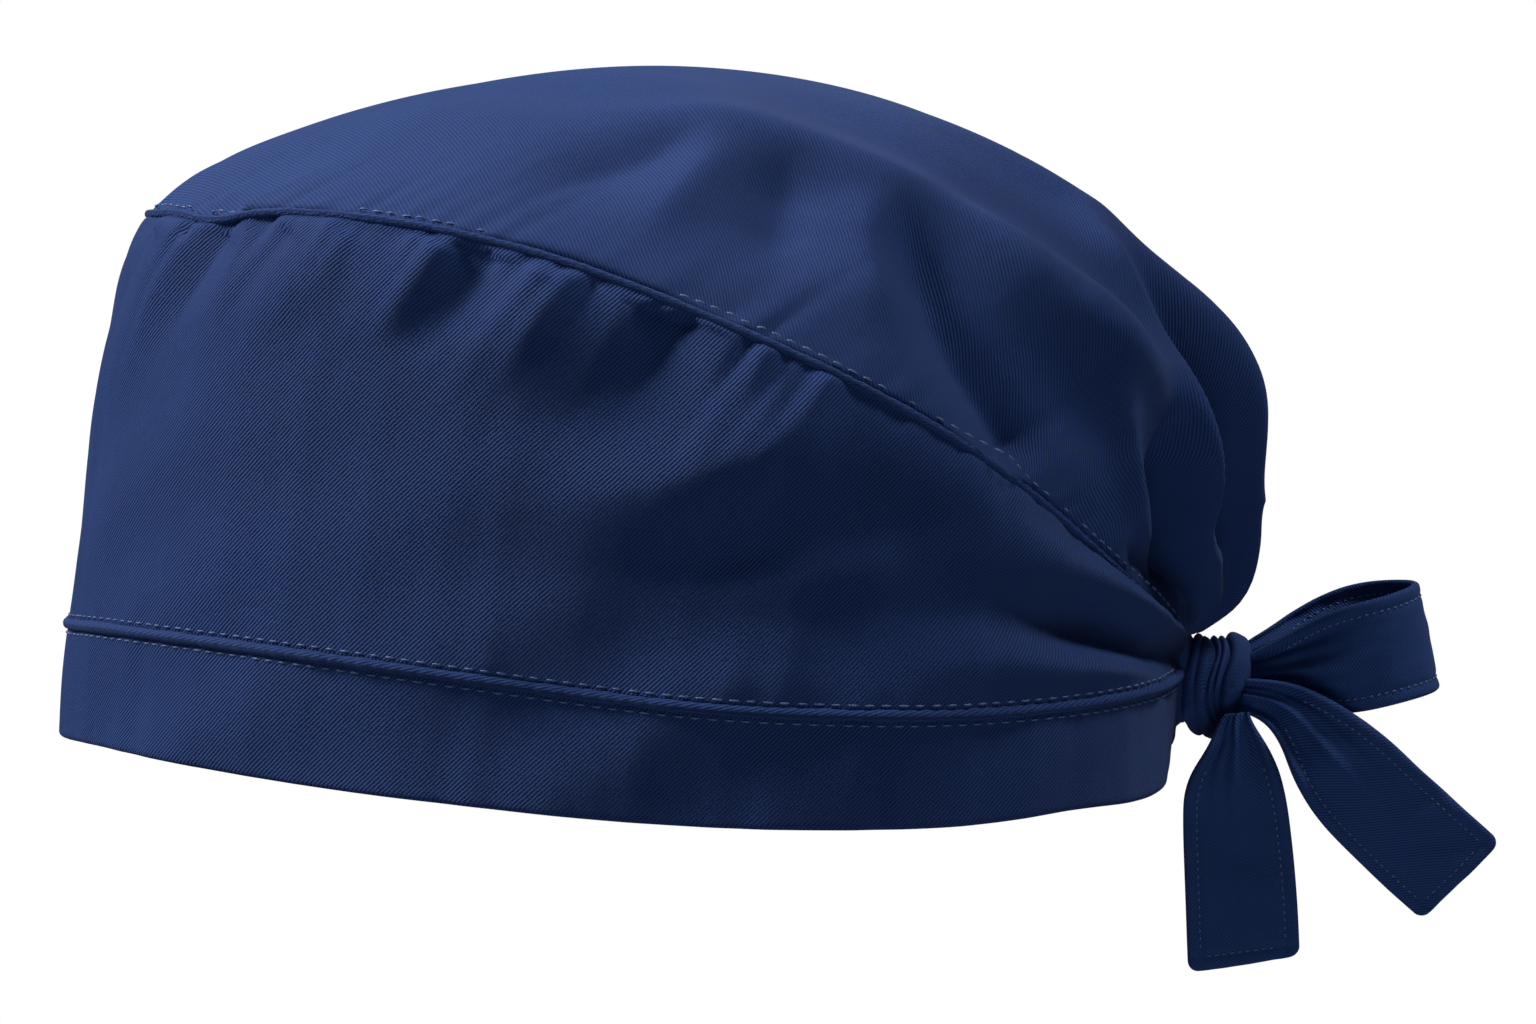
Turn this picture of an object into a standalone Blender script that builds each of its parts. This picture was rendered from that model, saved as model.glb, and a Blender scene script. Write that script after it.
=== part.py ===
"""Tie-back scrub cap: a headband, a side panel, a crown gathered at the back, and a tied half bow.

The cap stands on its rim, with +Z up, the front at -Y, the knot at +Y and the wearer's left at +X.
The origin is the middle of the head opening, at the height of the lowest point of the rim.
"""
import math

import bmesh
import bpy
import numpy as np

# Driving dimensions, in metres
CAP_LENGTH = 0.220           # head opening, from the front to the throat at the knot, outside
CAP_WIDTH = 0.166            # head opening, side to side, outside
CAP_HEIGHT = 0.1375          # from the lowest point of the rim to the top of the crown
BAND_HEIGHT = 0.0222         # headband, from the rim to its seam
BAND_WALL = 0.0020           # doubled cloth of the headband
PANEL_WALL = 0.0012          # single cloth with its seam allowance
SIDE_FULLNESS = 0.0040       # how far the side panel swells past a straight wall
BAND_PIPING_RADIUS = 0.0011  # raised welt along the top of the headband
CROWN_PIPING_RADIUS = 0.0008  # cord-like roll along the crown seam
SEAM_GAP = 0.0003            # clearance between pieces that are sewn together
FOLD_HEIGHT = 0.008          # the deepest fold of the crown
FOLD_REACH = 0.045           # folds keep their full depth where the crown is wider than this
KNOT_LENGTH = 0.0137         # along the ties, from the throat to where they come out
KNOT_HEIGHT = 0.0206
KNOT_DEPTH = 0.0180          # side to side
KNOT_DROP = 0.0019           # from the middle of the throat down to the knot's axis
KNOT_WRAP_DEPTH = 0.0009     # valleys between the wraps of cloth
TIE_WIDTH = 0.0210
TIE_THICKNESS = 0.0016       # doubled cloth
LOOP_REACH = 0.0325          # from the knot to the tip of the loop
LOOP_SPREAD = 0.0105         # from the middle of the loop to either strand
NEAR_TAIL_LENGTH = 0.0490
FAR_TAIL_LENGTH = 0.0520

# Plain numbers and shares that shape the cloth
KNOT_WRAPS = 3
KNOT_SLANT = 0.12            # how far the wraps lean along the knot, as a share of its length
KNOT_SHOULDER = 0.2          # share of the knot's length, at each end, that has no valleys
CROWN_SHOULDER = 0.22        # how much fuller the crown is than a parabola
SWELL_TOP = 0.78             # level of the side wall where it swells most
FOLD_GROWN = 0.90            # station where a fold has grown to its full depth
FOLD_CLOSED = 0.93           # station from which the folds close again towards the knot
FOLD_TAPER = 1.6             # how fast folds flatten where the crown narrows
SIDE_FOLD_EDGE = 0.2         # share of the side panel, at each seam, where folds fade out
CROWN_FOLD_EDGE = 0.12       # the same for the crown
THROAT_TURN = 0.90           # station from which the cloth turns square to the throat
CROWN_FRONT = 0.008          # station of the crown's foremost row
PIPING_END = 0.988           # station where the pipings stop, short of the throat
SHARP_EDGE_DEGREES = 50
SLOPE_STEP = 0.001           # small step in share, to read a slope

# How finely each piece is faceted
CROWN_ROWS = 30
CROWN_LANES = 40
WALL_STATIONS = 56
SIDE_STEPS = 8
BAND_STEPS = 3
PIPING_SIDES = 6
KNOT_RINGS = 14
KNOT_SIDES = 20
LOOP_RINGS = 26
TAIL_RINGS = 13
TIE_LANES = 6

# One row for each station from the front centre to the throat. out is a share of half the width,
# along of half the length, up of the height, and band of the headband's height.
STATION_COLUMNS = ("share", "rim_out", "rim_along", "rim_up", "seam_out", "seam_along", "seam_up",
                   "ridge_along", "ridge_up", "band")
STATIONS = (
    (0.00, 0.000, -1.000, 0.050, 0.000, -0.827, 0.790, -0.827, 0.790, 1.00),
    (0.05, 0.193, -0.984, 0.051, 0.193, -0.809, 0.790, -0.738, 0.854, 1.00),
    (0.12, 0.434, -0.900, 0.059, 0.434, -0.733, 0.792, -0.565, 0.911, 1.01),
    (0.22, 0.717, -0.698, 0.058, 0.680, -0.542, 0.794, -0.304, 0.966, 1.04),
    (0.34, 0.922, -0.395, 0.041, 0.858, -0.267, 0.781, 0.015, 0.998, 1.06),
    (0.45, 0.992, -0.091, 0.022, 0.920, 0.025, 0.729, 0.309, 0.983, 1.02),
    (0.55, 1.000, 0.182, 0.006, 0.940, 0.285, 0.651, 0.566, 0.926, 0.97),
    (0.65, 0.970, 0.455, 0.000, 0.904, 0.527, 0.561, 0.794, 0.823, 0.93),
    (0.74, 0.873, 0.691, 0.002, 0.795, 0.723, 0.460, 0.967, 0.701, 0.90),
    (0.83, 0.651, 0.877, 0.009, 0.602, 0.862, 0.355, 1.088, 0.550, 0.87),
    (0.91, 0.365, 0.983, 0.016, 0.352, 0.957, 0.267, 1.070, 0.390, 0.84),
    (0.96, 0.155, 0.992, 0.052, 0.181, 0.991, 0.222, 1.082, 0.276, 0.62),
    (1.00, 0.042, 1.000, 0.084, 0.072, 1.000, 0.188, 1.000, 0.205, 0.43),
)

# One row for each fold of the crown, fanning out from the throat. lane is 1 at the left seam, 0 at
# the top and -1 at the right seam; width is in the same unit, start is a station, and lift is a
# share of FOLD_HEIGHT, up for a ridge and down for a valley.
CROWN_FOLD_COLUMNS = ("front_lane", "throat_lane", "start", "width", "lift")
CROWN_FOLDS = (
    (0.86, 0.76, 0.62, 0.075, -0.30),
    (0.66, 0.60, 0.56, 0.085, 0.62),
    (0.44, 0.44, 0.50, 0.080, -0.42),
    (0.16, 0.22, 0.46, 0.080, 1.00),
    (0.02, -0.02, 0.60, 0.080, -0.35),
    (-0.22, -0.26, 0.52, 0.080, 0.85),
    (-0.46, -0.46, 0.50, 0.085, -0.45),
    (-0.70, -0.64, 0.58, 0.085, 0.60),
    (-0.88, -0.80, 0.62, 0.075, -0.30),
)

# The same for the side panel, on both sides: level is 0 at the headband's seam and 1 at the crown's.
SIDE_FOLD_COLUMNS = ("front_level", "throat_level", "start", "width", "lift")
SIDE_FOLDS = (
    (0.10, 0.30, 0.72, 0.14, 0.22),
    (0.42, 0.55, 0.66, 0.15, -0.35),
    (0.78, 0.80, 0.70, 0.13, 0.25),
)

# One row for each section of a tie. out, along and up are shares of the strap's own reach, measured
# from its root on the knot; lean turns the strap's width from upright towards +Y, in degrees; width
# is a share of TIE_WIDTH and pleat of the strap's own width.
TIE_COLUMNS = ("share", "out", "along", "up", "lean", "width", "pleat")
LOOP_STRAP = (
    (0.00, 0.000, 0.000, 0.000, -4.0, 0.34, 0.14),
    (0.10, 0.240, 0.200, 0.040, -6.0, 0.66, 0.10),
    (0.24, 0.700, 0.520, 0.120, -8.0, 0.95, 0.03),
    (0.38, 0.640, 0.830, 0.200, -10.0, 0.98, 0.00),
    (0.50, -0.040, 1.000, 0.250, -12.0, 1.00, 0.00),
    (0.62, -0.780, 0.850, 0.250, -12.0, 0.98, 0.00),
    (0.76, -1.060, 0.530, 0.190, -9.0, 0.95, 0.03),
    (0.90, -0.780, 0.200, 0.110, -6.0, 0.66, 0.10),
    (1.00, -0.520, 0.000, 0.060, -4.0, 0.34, 0.14),
)
NEAR_TAIL_STRAP = (
    (0.00, 0.000, 0.000, 0.000, 84.0, 0.22, 0.14),
    (0.12, 0.008, -0.033, -0.105, 84.0, 0.48, 0.08),
    (0.26, -0.002, -0.050, -0.235, 86.0, 0.80, 0.04),
    (0.45, -0.042, -0.044, -0.415, 88.0, 0.96, 0.01),
    (0.72, -0.062, -0.024, -0.695, 88.0, 1.01, 0.00),
    (1.00, -0.072, -0.009, -1.000, 80.0, 1.03, 0.00),
)
FAR_TAIL_STRAP = (
    (0.00, 0.000, 0.000, 0.000, 10.0, 0.30, 0.14),
    (0.13, 0.050, 0.110, -0.035, 28.0, 0.46, 0.08),
    (0.30, 0.110, 0.265, -0.183, 42.0, 0.82, 0.05),
    (0.55, 0.070, 0.448, -0.382, 43.0, 0.99, 0.01),
    (0.78, 0.020, 0.618, -0.547, 43.0, 1.01, 0.00),
    (1.00, -0.020, 0.762, -0.680, 44.0, 1.01, 0.00),
)

# Where each tie's root sits on the knot's tail end: out, as a share of half the knot's depth, along
# of its length, and up of half its height.
LOOP_ROOT = (0.19, 0.00, 0.19)
NEAR_TAIL_ROOT = (1.155, -0.08, -0.405)
FAR_TAIL_ROOT = (0.75, 0.00, -0.10)

# One row for each ring of the knot: how far along it is, and its width as a share of the knot's.
KNOT_PROFILE_COLUMNS = ("share", "girth")
KNOT_PROFILE = (
    (0.00, 0.86),
    (0.14, 0.97),
    (0.40, 1.00),
    (0.66, 1.00),
    (0.86, 0.92),
    (1.00, 0.70),
)

NAVY = {
    "headband": (0.016, 0.042, 0.125),
    "side_panel": (0.018, 0.046, 0.135),
    "crown_panel": (0.017, 0.044, 0.130),
    "band_piping": (0.014, 0.038, 0.115),
    "crown_piping": (0.014, 0.038, 0.115),
    "tie_knot": (0.012, 0.032, 0.100),
    "bow_loop": (0.013, 0.034, 0.105),
    "tie_tail_near": (0.013, 0.034, 0.105),
    "tie_tail_far": (0.013, 0.034, 0.105),
}
CLOTH_ROUGHNESS = 0.85

HALF_LENGTH = CAP_LENGTH / 2
HALF_WIDTH = CAP_WIDTH / 2
THROAT = dict(zip(STATION_COLUMNS, STATIONS[-1]))
KNOT_START = THROAT["rim_along"] * HALF_LENGTH + SEAM_GAP
KNOT_END = KNOT_START + KNOT_LENGTH
KNOT_UP = (THROAT["rim_up"] + THROAT["ridge_up"]) / 2 * CAP_HEIGHT - KNOT_DROP


def column(table, columns, name):
    return np.array([row[columns.index(name)] for row in table])


def natural_spline(knots, values, at):
    """The smooth curve through the table's values, read at the shares in `at`."""
    gaps = np.diff(knots)
    count = len(knots)
    system = np.eye(count)
    right = np.zeros(count)
    for i in range(1, count - 1):
        system[i, i - 1:i + 2] = gaps[i - 1], 2 * (gaps[i - 1] + gaps[i]), gaps[i]
        right[i] = 6 * ((values[i + 1] - values[i]) / gaps[i]
                        - (values[i] - values[i - 1]) / gaps[i - 1])
    bends = np.linalg.solve(system, right)
    cell = np.clip(np.searchsorted(knots, at, side="right") - 1, 0, count - 2)
    gap = gaps[cell]
    after = at - knots[cell]
    before = gap - after
    curved = (bends[cell] * before**3 + bends[cell + 1] * after**3) / (6 * gap)
    start = (values[cell] / gap - bends[cell] * gap / 6) * before
    end = (values[cell + 1] / gap - bends[cell + 1] * gap / 6) * after
    return curved + start + end


def lane_value(name, share, mirrored):
    """A station column at any share; a mirrored one runs on smoothly round the front centre."""
    knots = column(STATIONS, STATION_COLUMNS, "share")
    values = column(STATIONS, STATION_COLUMNS, name)
    if mirrored:
        sign = -1 if name.endswith("_out") else 1
        values = np.concatenate([sign * values[:0:-1], values])
        knots = np.concatenate([-knots[:0:-1], knots])
    return natural_spline(knots, values, share)


def lane(piece, share):
    """Points of the rim, the seam or the ridge on the left half of the cap."""
    mirrored = piece != "ridge"
    along = lane_value(piece + "_along", share, mirrored) * HALF_LENGTH
    up = lane_value(piece + "_up", share, mirrored) * CAP_HEIGHT
    out = lane_value(piece + "_out", share, True) * HALF_WIDTH if mirrored else np.zeros_like(along)
    return np.stack([out, along, up], axis=-1)


def unit(vectors):
    return vectors / np.maximum(np.linalg.norm(vectors, axis=-1, keepdims=True), 1e-12)


def smooth_step(value):
    value = np.clip(value, 0, 1)
    return value * value * (3 - 2 * value)


def square_at_throat(vectors, share):
    """The same directions, turned to lie in the throat's plane as the share nears 1."""
    kept = 1 - smooth_step((share - THROAT_TURN) / (1 - THROAT_TURN))
    turned = vectors.copy()
    turned[..., 1] *= kept.reshape(kept.shape + (1,) * (turned.ndim - 1 - kept.ndim))
    return unit(turned)


def fullness(level):
    """How the side panel swells: slowly up from the rim, then rounding over to the crown seam."""
    rising = np.sin(math.pi / 2 * np.minimum(level / SWELL_TOP, 1))
    rounding = np.maximum(0, (level - SWELL_TOP) / (1 - SWELL_TOP)) ** 3
    return rising * (1 - rounding)


def fold_relief(folds, columns, share, lane_at, reach):
    """Height of the folds over the plain surface: deepest near the throat, and gone at its edge."""
    relief = np.zeros(np.broadcast(share, lane_at).shape)
    front_name, throat_name = columns[:2]
    for row in folds:
        fold = dict(zip(columns, row))
        grown = smooth_step((share - fold["start"]) / (FOLD_GROWN - fold["start"]))
        centre = fold[front_name] + (fold[throat_name] - fold[front_name]) * grown
        bump = np.exp(-((lane_at - centre) / fold["width"]) ** 2)
        relief += FOLD_HEIGHT * fold["lift"] * grown * bump
    closing = 1 - smooth_step((share - FOLD_CLOSED) / (1 - FOLD_CLOSED))
    return relief * np.minimum(1, reach / FOLD_REACH) ** FOLD_TAPER * closing


def grid_normals(grid):
    """Unit normals of a grid of points, which point inwards when its lanes run the way they do in
    the panels."""
    return unit(np.cross(np.gradient(grid, axis=1), np.gradient(grid, axis=0)))


def wall_grid(stations, level_from, level_to, steps):
    """Outer points of the side wall: stations run from the right of the throat to its left by way of
    the front, and levels are lengths up the wall from the rim, as two functions of the share."""
    share = np.abs(stations)
    side = np.where(stations < 0, -1.0, 1.0)
    rim = lane("rim", share)
    seam = lane("seam", share)
    rise = np.linalg.norm(seam - rim, axis=-1)
    ahead = lane("rim", share + SLOPE_STEP) + lane("seam", share + SLOPE_STEP)
    run = ahead - lane("rim", share - SLOPE_STEP) - lane("seam", share - SLOPE_STEP)
    outward = square_at_throat(np.cross(run, seam - rim), share)
    low = level_from(share, rise)
    high = level_to(share, rise)
    band_top = band_level(share)
    across = np.linspace(0, 1, steps + 1)
    length = low[:, None] + (high - low)[:, None] * across
    level = length / rise[:, None]
    front_rise = np.linalg.norm(lane("seam", np.zeros(1)) - lane("rim", np.zeros(1)))
    panel_level = (length - band_top[:, None]) / (rise - band_top)[:, None]
    folds = fold_relief(SIDE_FOLDS, SIDE_FOLD_COLUMNS, share[:, None], panel_level, rise[:, None])
    folds *= smooth_step(panel_level / SIDE_FOLD_EDGE)
    folds *= smooth_step((1 - panel_level) / SIDE_FOLD_EDGE)
    swell = SIDE_FULLNESS * fullness(level) * (rise / front_rise)[:, None] + folds
    points = rim[:, None] + (seam - rim)[:, None] * level[..., None]
    points = points + outward[:, None] * swell[..., None]
    points[..., 0] *= side[:, None]
    return points


def band_level(share):
    return BAND_HEIGHT * lane_value("band", share, True)


def crown_grid(rows, lanes):
    """Outer points of the crown: rows run from the front to the throat, and lanes across it."""
    seam = lane("seam", rows)
    ridge = lane("ridge", rows)
    climb = ridge - seam
    climb[:, 0] = 0
    edge_slope = 2 * (1 - CROWN_SHOULDER)
    across = -edge_slope * climb
    across[:, 0] = seam[:, 0]
    run = unit(lane("seam", rows + SLOPE_STEP) - lane("seam", rows - SLOPE_STEP))
    held_back = (CROWN_PIPING_RADIUS + SEAM_GAP) / np.linalg.norm(np.cross(across, run), axis=-1)
    at = lanes * (1 - held_back)[:, None]
    lift = (1 - at**2) * (1 + CROWN_SHOULDER * at**2)
    points = seam[:, None] + climb[:, None] * lift[..., None]
    points[..., 0] = seam[:, :1] * at
    reach = np.linalg.norm(across, axis=-1)[:, None]
    relief = fold_relief(CROWN_FOLDS, CROWN_FOLD_COLUMNS, rows[:, None], at, reach)
    relief *= smooth_step((1 - np.abs(at)) / CROWN_FOLD_EDGE)
    outward = -square_at_throat(grid_normals(points[:, ::-1])[:, ::-1], rows)
    return points + outward * relief[..., None]


def new_object(name, points, faces):
    mesh = bpy.data.meshes.new(name)
    mesh.from_pydata([tuple(point) for point in points], [], faces)
    body = bmesh.new()
    body.from_mesh(mesh)
    bmesh.ops.recalc_face_normals(body, faces=body.faces)
    body.to_mesh(mesh)
    body.free()
    mesh.shade_smooth()
    mesh.set_sharp_from_angle(angle=math.radians(SHARP_EDGE_DEGREES))
    material = bpy.data.materials.new(name + "_cloth")
    material.use_nodes = True
    shader = material.node_tree.nodes["Principled BSDF"]
    shader.inputs["Base Color"].default_value = (*NAVY[name], 1)
    shader.inputs["Roughness"].default_value = CLOTH_ROUGHNESS
    shader.inputs["Metallic"].default_value = 0
    mesh.materials.append(material)
    made = bpy.data.objects.new(name, mesh)
    bpy.context.scene.collection.objects.link(made)
    return made


def cloth_sheet(name, outer, inward, wall):
    """A closed sheet: the outer grid, the same grid one wall further in, and the edge between."""
    rows, lanes = outer.shape[:2]
    inner = outer + inward * wall
    points = np.concatenate([outer.reshape(-1, 3), inner.reshape(-1, 3)])
    behind = rows * lanes
    faces = []
    for i in range(rows - 1):
        for j in range(lanes - 1):
            a, b = i * lanes + j, i * lanes + j + 1
            c, d = b + lanes, a + lanes
            faces.append((a, b, c, d))
            faces.append((behind + d, behind + c, behind + b, behind + a))
    edge = [j for j in range(lanes)]
    edge += [i * lanes + lanes - 1 for i in range(1, rows)]
    edge += [(rows - 1) * lanes + j for j in range(lanes - 2, -1, -1)]
    edge += [i * lanes for i in range(rows - 2, 0, -1)]
    for a, b in zip(edge, edge[1:] + edge[:1]):
        faces.append((b, a, behind + a, behind + b))
    return new_object(name, points, faces)


def tube(name, rings):
    """A closed tube through rings of points, with a flat cap on each end."""
    count, sides = rings.shape[:2]
    faces = []
    for i in range(count - 1):
        for j in range(sides):
            k = (j + 1) % sides
            faces.append((i * sides + j, i * sides + k, (i + 1) * sides + k, (i + 1) * sides + j))
    faces.append(tuple(range(sides - 1, -1, -1)))
    faces.append(tuple((count - 1) * sides + j for j in range(sides)))
    return new_object(name, rings.reshape(-1, 3), faces)


def make_headband(stations):
    outer = wall_grid(stations, lambda share, rise: 0 * share,
                      lambda share, rise: band_level(share) - BAND_PIPING_RADIUS - SEAM_GAP,
                      BAND_STEPS)
    inward = square_at_throat(grid_normals(outer), np.abs(stations))
    return cloth_sheet("headband", outer, inward, BAND_WALL)


def make_side_panel(stations):
    outer = wall_grid(stations,
                      lambda share, rise: band_level(share) + BAND_PIPING_RADIUS + SEAM_GAP,
                      lambda share, rise: rise - CROWN_PIPING_RADIUS - SEAM_GAP, SIDE_STEPS)
    inward = square_at_throat(grid_normals(outer), np.abs(stations))
    return cloth_sheet("side_panel", outer, inward, PANEL_WALL)


def make_crown_panel():
    rows = np.linspace(CROWN_FRONT, 1, CROWN_ROWS)
    outer = crown_grid(rows, np.linspace(-1, 1, CROWN_LANES + 1))[:, ::-1]
    inward = square_at_throat(grid_normals(outer), rows)
    return cloth_sheet("crown_panel", outer, inward, PANEL_WALL)


def make_piping(name, centres, radius):
    """A round roll along a seam, whose rings stand square to the seam."""
    run = unit(np.gradient(centres, axis=0))
    level = unit(np.cross(run, np.array([0.0, 0.0, 1.0])))
    upright = np.cross(level, run)
    turns = np.linspace(0, 2 * math.pi, PIPING_SIDES, endpoint=False)[None, :, None]
    ring = level[:, None] * np.cos(turns) + upright[:, None] * np.sin(turns)
    return tube(name, centres[:, None] + ring * radius)


def make_pipings(stations):
    inside = stations * PIPING_END
    seam = wall_grid(inside, lambda share, rise: rise, lambda share, rise: rise, 1)[:, 0]
    make_piping("crown_piping", seam, CROWN_PIPING_RADIUS)
    band_seam = wall_grid(inside, lambda share, rise: band_level(share),
                          lambda share, rise: band_level(share), 1)[:, 0]
    make_piping("band_piping", band_seam, BAND_PIPING_RADIUS)


def make_knot():
    """A barrel of cloth wrapped round the throat's line, with slanting valleys between the wraps."""
    share = np.linspace(0, 1, KNOT_RINGS)
    girth = natural_spline(column(KNOT_PROFILE, KNOT_PROFILE_COLUMNS, "share"),
                           column(KNOT_PROFILE, KNOT_PROFILE_COLUMNS, "girth"), share)
    turns = np.linspace(0, 2 * math.pi, KNOT_SIDES, endpoint=False)
    slant = KNOT_SLANT * np.sin(turns)
    wraps = np.abs(np.cos(math.pi * KNOT_WRAPS * (share[:, None] + slant)))
    inside_ends = smooth_step(np.minimum(share, 1 - share) / KNOT_SHOULDER)
    sunk = KNOT_WRAP_DEPTH * (1 - wraps) * inside_ends[:, None]
    out = (KNOT_DEPTH / 2 * girth[:, None] - sunk) * np.cos(turns)
    up = (KNOT_HEIGHT / 2 * girth[:, None] - sunk) * np.sin(turns) + KNOT_UP
    along = np.broadcast_to((KNOT_START + KNOT_LENGTH * share)[:, None], out.shape)
    rings = np.stack([out, along, up], axis=-1)[:, ::-1]
    return tube("tie_knot", rings)


def make_tie(name, strap, root, rings, out_reach, reach, square_ends=()):
    """A flat doubled strap swept along its table, pinched and pleated where it leaves the knot.
    Its square ends face the flat end of the knot."""
    knots = column(strap, TIE_COLUMNS, "share")
    at = np.linspace(0, 1, rings)
    read = {part: natural_spline(knots, column(strap, TIE_COLUMNS, part), at)
            for part in TIE_COLUMNS[1:]}
    centre = np.stack([read["out"] * out_reach + root[0] * KNOT_DEPTH / 2,
                       read["along"] * reach + root[1] * KNOT_LENGTH + KNOT_END + SEAM_GAP,
                       read["up"] * reach + root[2] * KNOT_HEIGHT / 2 + KNOT_UP], axis=-1)
    run = unit(np.gradient(centre, axis=0))
    for end in square_ends:
        run[end] = (0, 1 if end == 0 else -1, 0)
    lean = np.radians(read["lean"])
    width = np.stack([0 * lean, np.sin(lean), np.cos(lean)], axis=-1)
    face = unit(np.cross(run, width))
    across = np.linspace(-1, 1, TIE_LANES + 1)
    strap_width = TIE_WIDTH * read["width"][:, None]
    ripple = np.cos(across * 2 * math.pi) * strap_width * read["pleat"][:, None]
    middle = centre[:, None] + width[:, None] * (across * strap_width / 2)[..., None]
    middle = middle + face[:, None] * ripple[..., None]
    half = face[:, None] * TIE_THICKNESS / 2
    sections = np.concatenate([middle - half, (middle + half)[:, ::-1]], axis=1)
    return tube(name, sections)


def build_cap():
    for leftover in list(bpy.data.objects):
        bpy.data.objects.remove(leftover, do_unlink=True)
    stations = np.linspace(-1, 1, WALL_STATIONS + 1)
    make_headband(stations)
    make_side_panel(stations)
    make_crown_panel()
    make_pipings(stations)
    make_knot()
    make_tie("bow_loop", LOOP_STRAP, LOOP_ROOT, LOOP_RINGS, LOOP_SPREAD, LOOP_REACH,
             square_ends=(0, -1))
    make_tie("tie_tail_near", NEAR_TAIL_STRAP, NEAR_TAIL_ROOT, TAIL_RINGS, NEAR_TAIL_LENGTH,
             NEAR_TAIL_LENGTH)
    make_tie("tie_tail_far", FAR_TAIL_STRAP, FAR_TAIL_ROOT, TAIL_RINGS, FAR_TAIL_LENGTH,
             FAR_TAIL_LENGTH, square_ends=(0,))


build_cap()
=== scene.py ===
"""Looks of the tie-back scrub cap: navy twill, piped seams, topstitching, gathers and ties."""
import math

import bpy
import numpy as np
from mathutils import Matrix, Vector


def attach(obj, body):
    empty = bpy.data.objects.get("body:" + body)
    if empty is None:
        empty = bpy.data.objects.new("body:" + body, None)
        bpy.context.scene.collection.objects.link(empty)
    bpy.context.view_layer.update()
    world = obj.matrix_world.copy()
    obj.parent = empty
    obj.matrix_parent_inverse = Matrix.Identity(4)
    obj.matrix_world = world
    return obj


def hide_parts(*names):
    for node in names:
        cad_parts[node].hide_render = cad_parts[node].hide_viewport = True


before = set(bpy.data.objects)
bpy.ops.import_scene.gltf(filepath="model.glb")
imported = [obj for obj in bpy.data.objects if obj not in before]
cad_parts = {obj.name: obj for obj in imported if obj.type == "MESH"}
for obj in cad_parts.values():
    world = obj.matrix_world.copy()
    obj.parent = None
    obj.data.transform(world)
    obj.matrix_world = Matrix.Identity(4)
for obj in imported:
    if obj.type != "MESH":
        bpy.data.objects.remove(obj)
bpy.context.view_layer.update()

# Sizes of the cap, in metres, as its solids have them
CAP_LENGTH = 0.220
CAP_WIDTH = 0.166
CAP_HEIGHT = 0.1375
BAND_HEIGHT = 0.0222
BAND_WALL = 0.0020
PANEL_WALL = 0.0012
SIDE_FULLNESS = 0.0040
BAND_PIPING_RADIUS = 0.0011
CROWN_PIPING_RADIUS = 0.0008
FOLD_HEIGHT = 0.008
FOLD_REACH = 0.045
KNOT_LENGTH = 0.0137
KNOT_HEIGHT = 0.0206
KNOT_DEPTH = 0.0180
KNOT_DROP = 0.0019
TIE_WIDTH = 0.0210
TIE_THICKNESS = 0.0016
LOOP_REACH = 0.0325
LOOP_SPREAD = 0.0105
NEAR_TAIL_LENGTH = 0.0490
FAR_TAIL_LENGTH = 0.0520
SEAM_GAP = 0.0003

CROWN_SHOULDER = 0.22
SWELL_TOP = 0.78
FOLD_GROWN = 0.90
FOLD_CLOSED = 0.93
FOLD_TAPER = 1.6
SIDE_FOLD_EDGE = 0.2
CROWN_FOLD_EDGE = 0.12
THROAT_TURN = 0.90
CROWN_FRONT = 0.003
SLOPE_STEP = 0.001

# How finely the cloth is drawn
WALL_STATIONS = 520
SIDE_LEVELS = 84
BAND_LEVELS = 26
HEM_POINTS = 9
CROWN_ROWS = 250
CROWN_LANES = 170
CROWN_PATH_ROWS = 700
PIPING_STATIONS = 900
PIPING_SIDES = 12
KNOT_RINGS = 110
KNOT_SIDES = 220
STRAP_RINGS = 120
STRAP_LANES = 44
STITCH_RINGS = 5
STITCH_SIDES = 6

STATION_COLUMNS = ("share", "rim_out", "rim_along", "rim_up", "seam_out", "seam_along", "seam_up",
                   "ridge_along", "ridge_up", "band")
STATIONS = (
    (0.00, 0.000, -1.000, 0.050, 0.000, -0.827, 0.790, -0.827, 0.790, 1.00),
    (0.05, 0.193, -0.984, 0.051, 0.193, -0.809, 0.790, -0.738, 0.854, 1.00),
    (0.12, 0.434, -0.900, 0.059, 0.434, -0.733, 0.792, -0.565, 0.911, 1.01),
    (0.22, 0.717, -0.698, 0.058, 0.680, -0.542, 0.794, -0.304, 0.966, 1.04),
    (0.34, 0.922, -0.395, 0.041, 0.858, -0.267, 0.781, 0.015, 0.998, 1.06),
    (0.45, 0.992, -0.091, 0.022, 0.920, 0.025, 0.729, 0.309, 0.983, 1.02),
    (0.55, 1.000, 0.182, 0.006, 0.940, 0.285, 0.651, 0.566, 0.926, 0.97),
    (0.65, 0.970, 0.455, 0.000, 0.904, 0.527, 0.561, 0.794, 0.823, 0.93),
    (0.74, 0.873, 0.691, 0.002, 0.795, 0.723, 0.460, 0.967, 0.701, 0.90),
    (0.83, 0.651, 0.877, 0.009, 0.602, 0.862, 0.355, 1.088, 0.550, 0.87),
    (0.91, 0.365, 0.983, 0.016, 0.352, 0.957, 0.267, 1.070, 0.390, 0.84),
    (0.96, 0.155, 0.992, 0.052, 0.181, 0.991, 0.222, 1.082, 0.276, 0.62),
    (1.00, 0.042, 1.000, 0.084, 0.072, 1.000, 0.188, 1.000, 0.205, 0.43),
)

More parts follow.
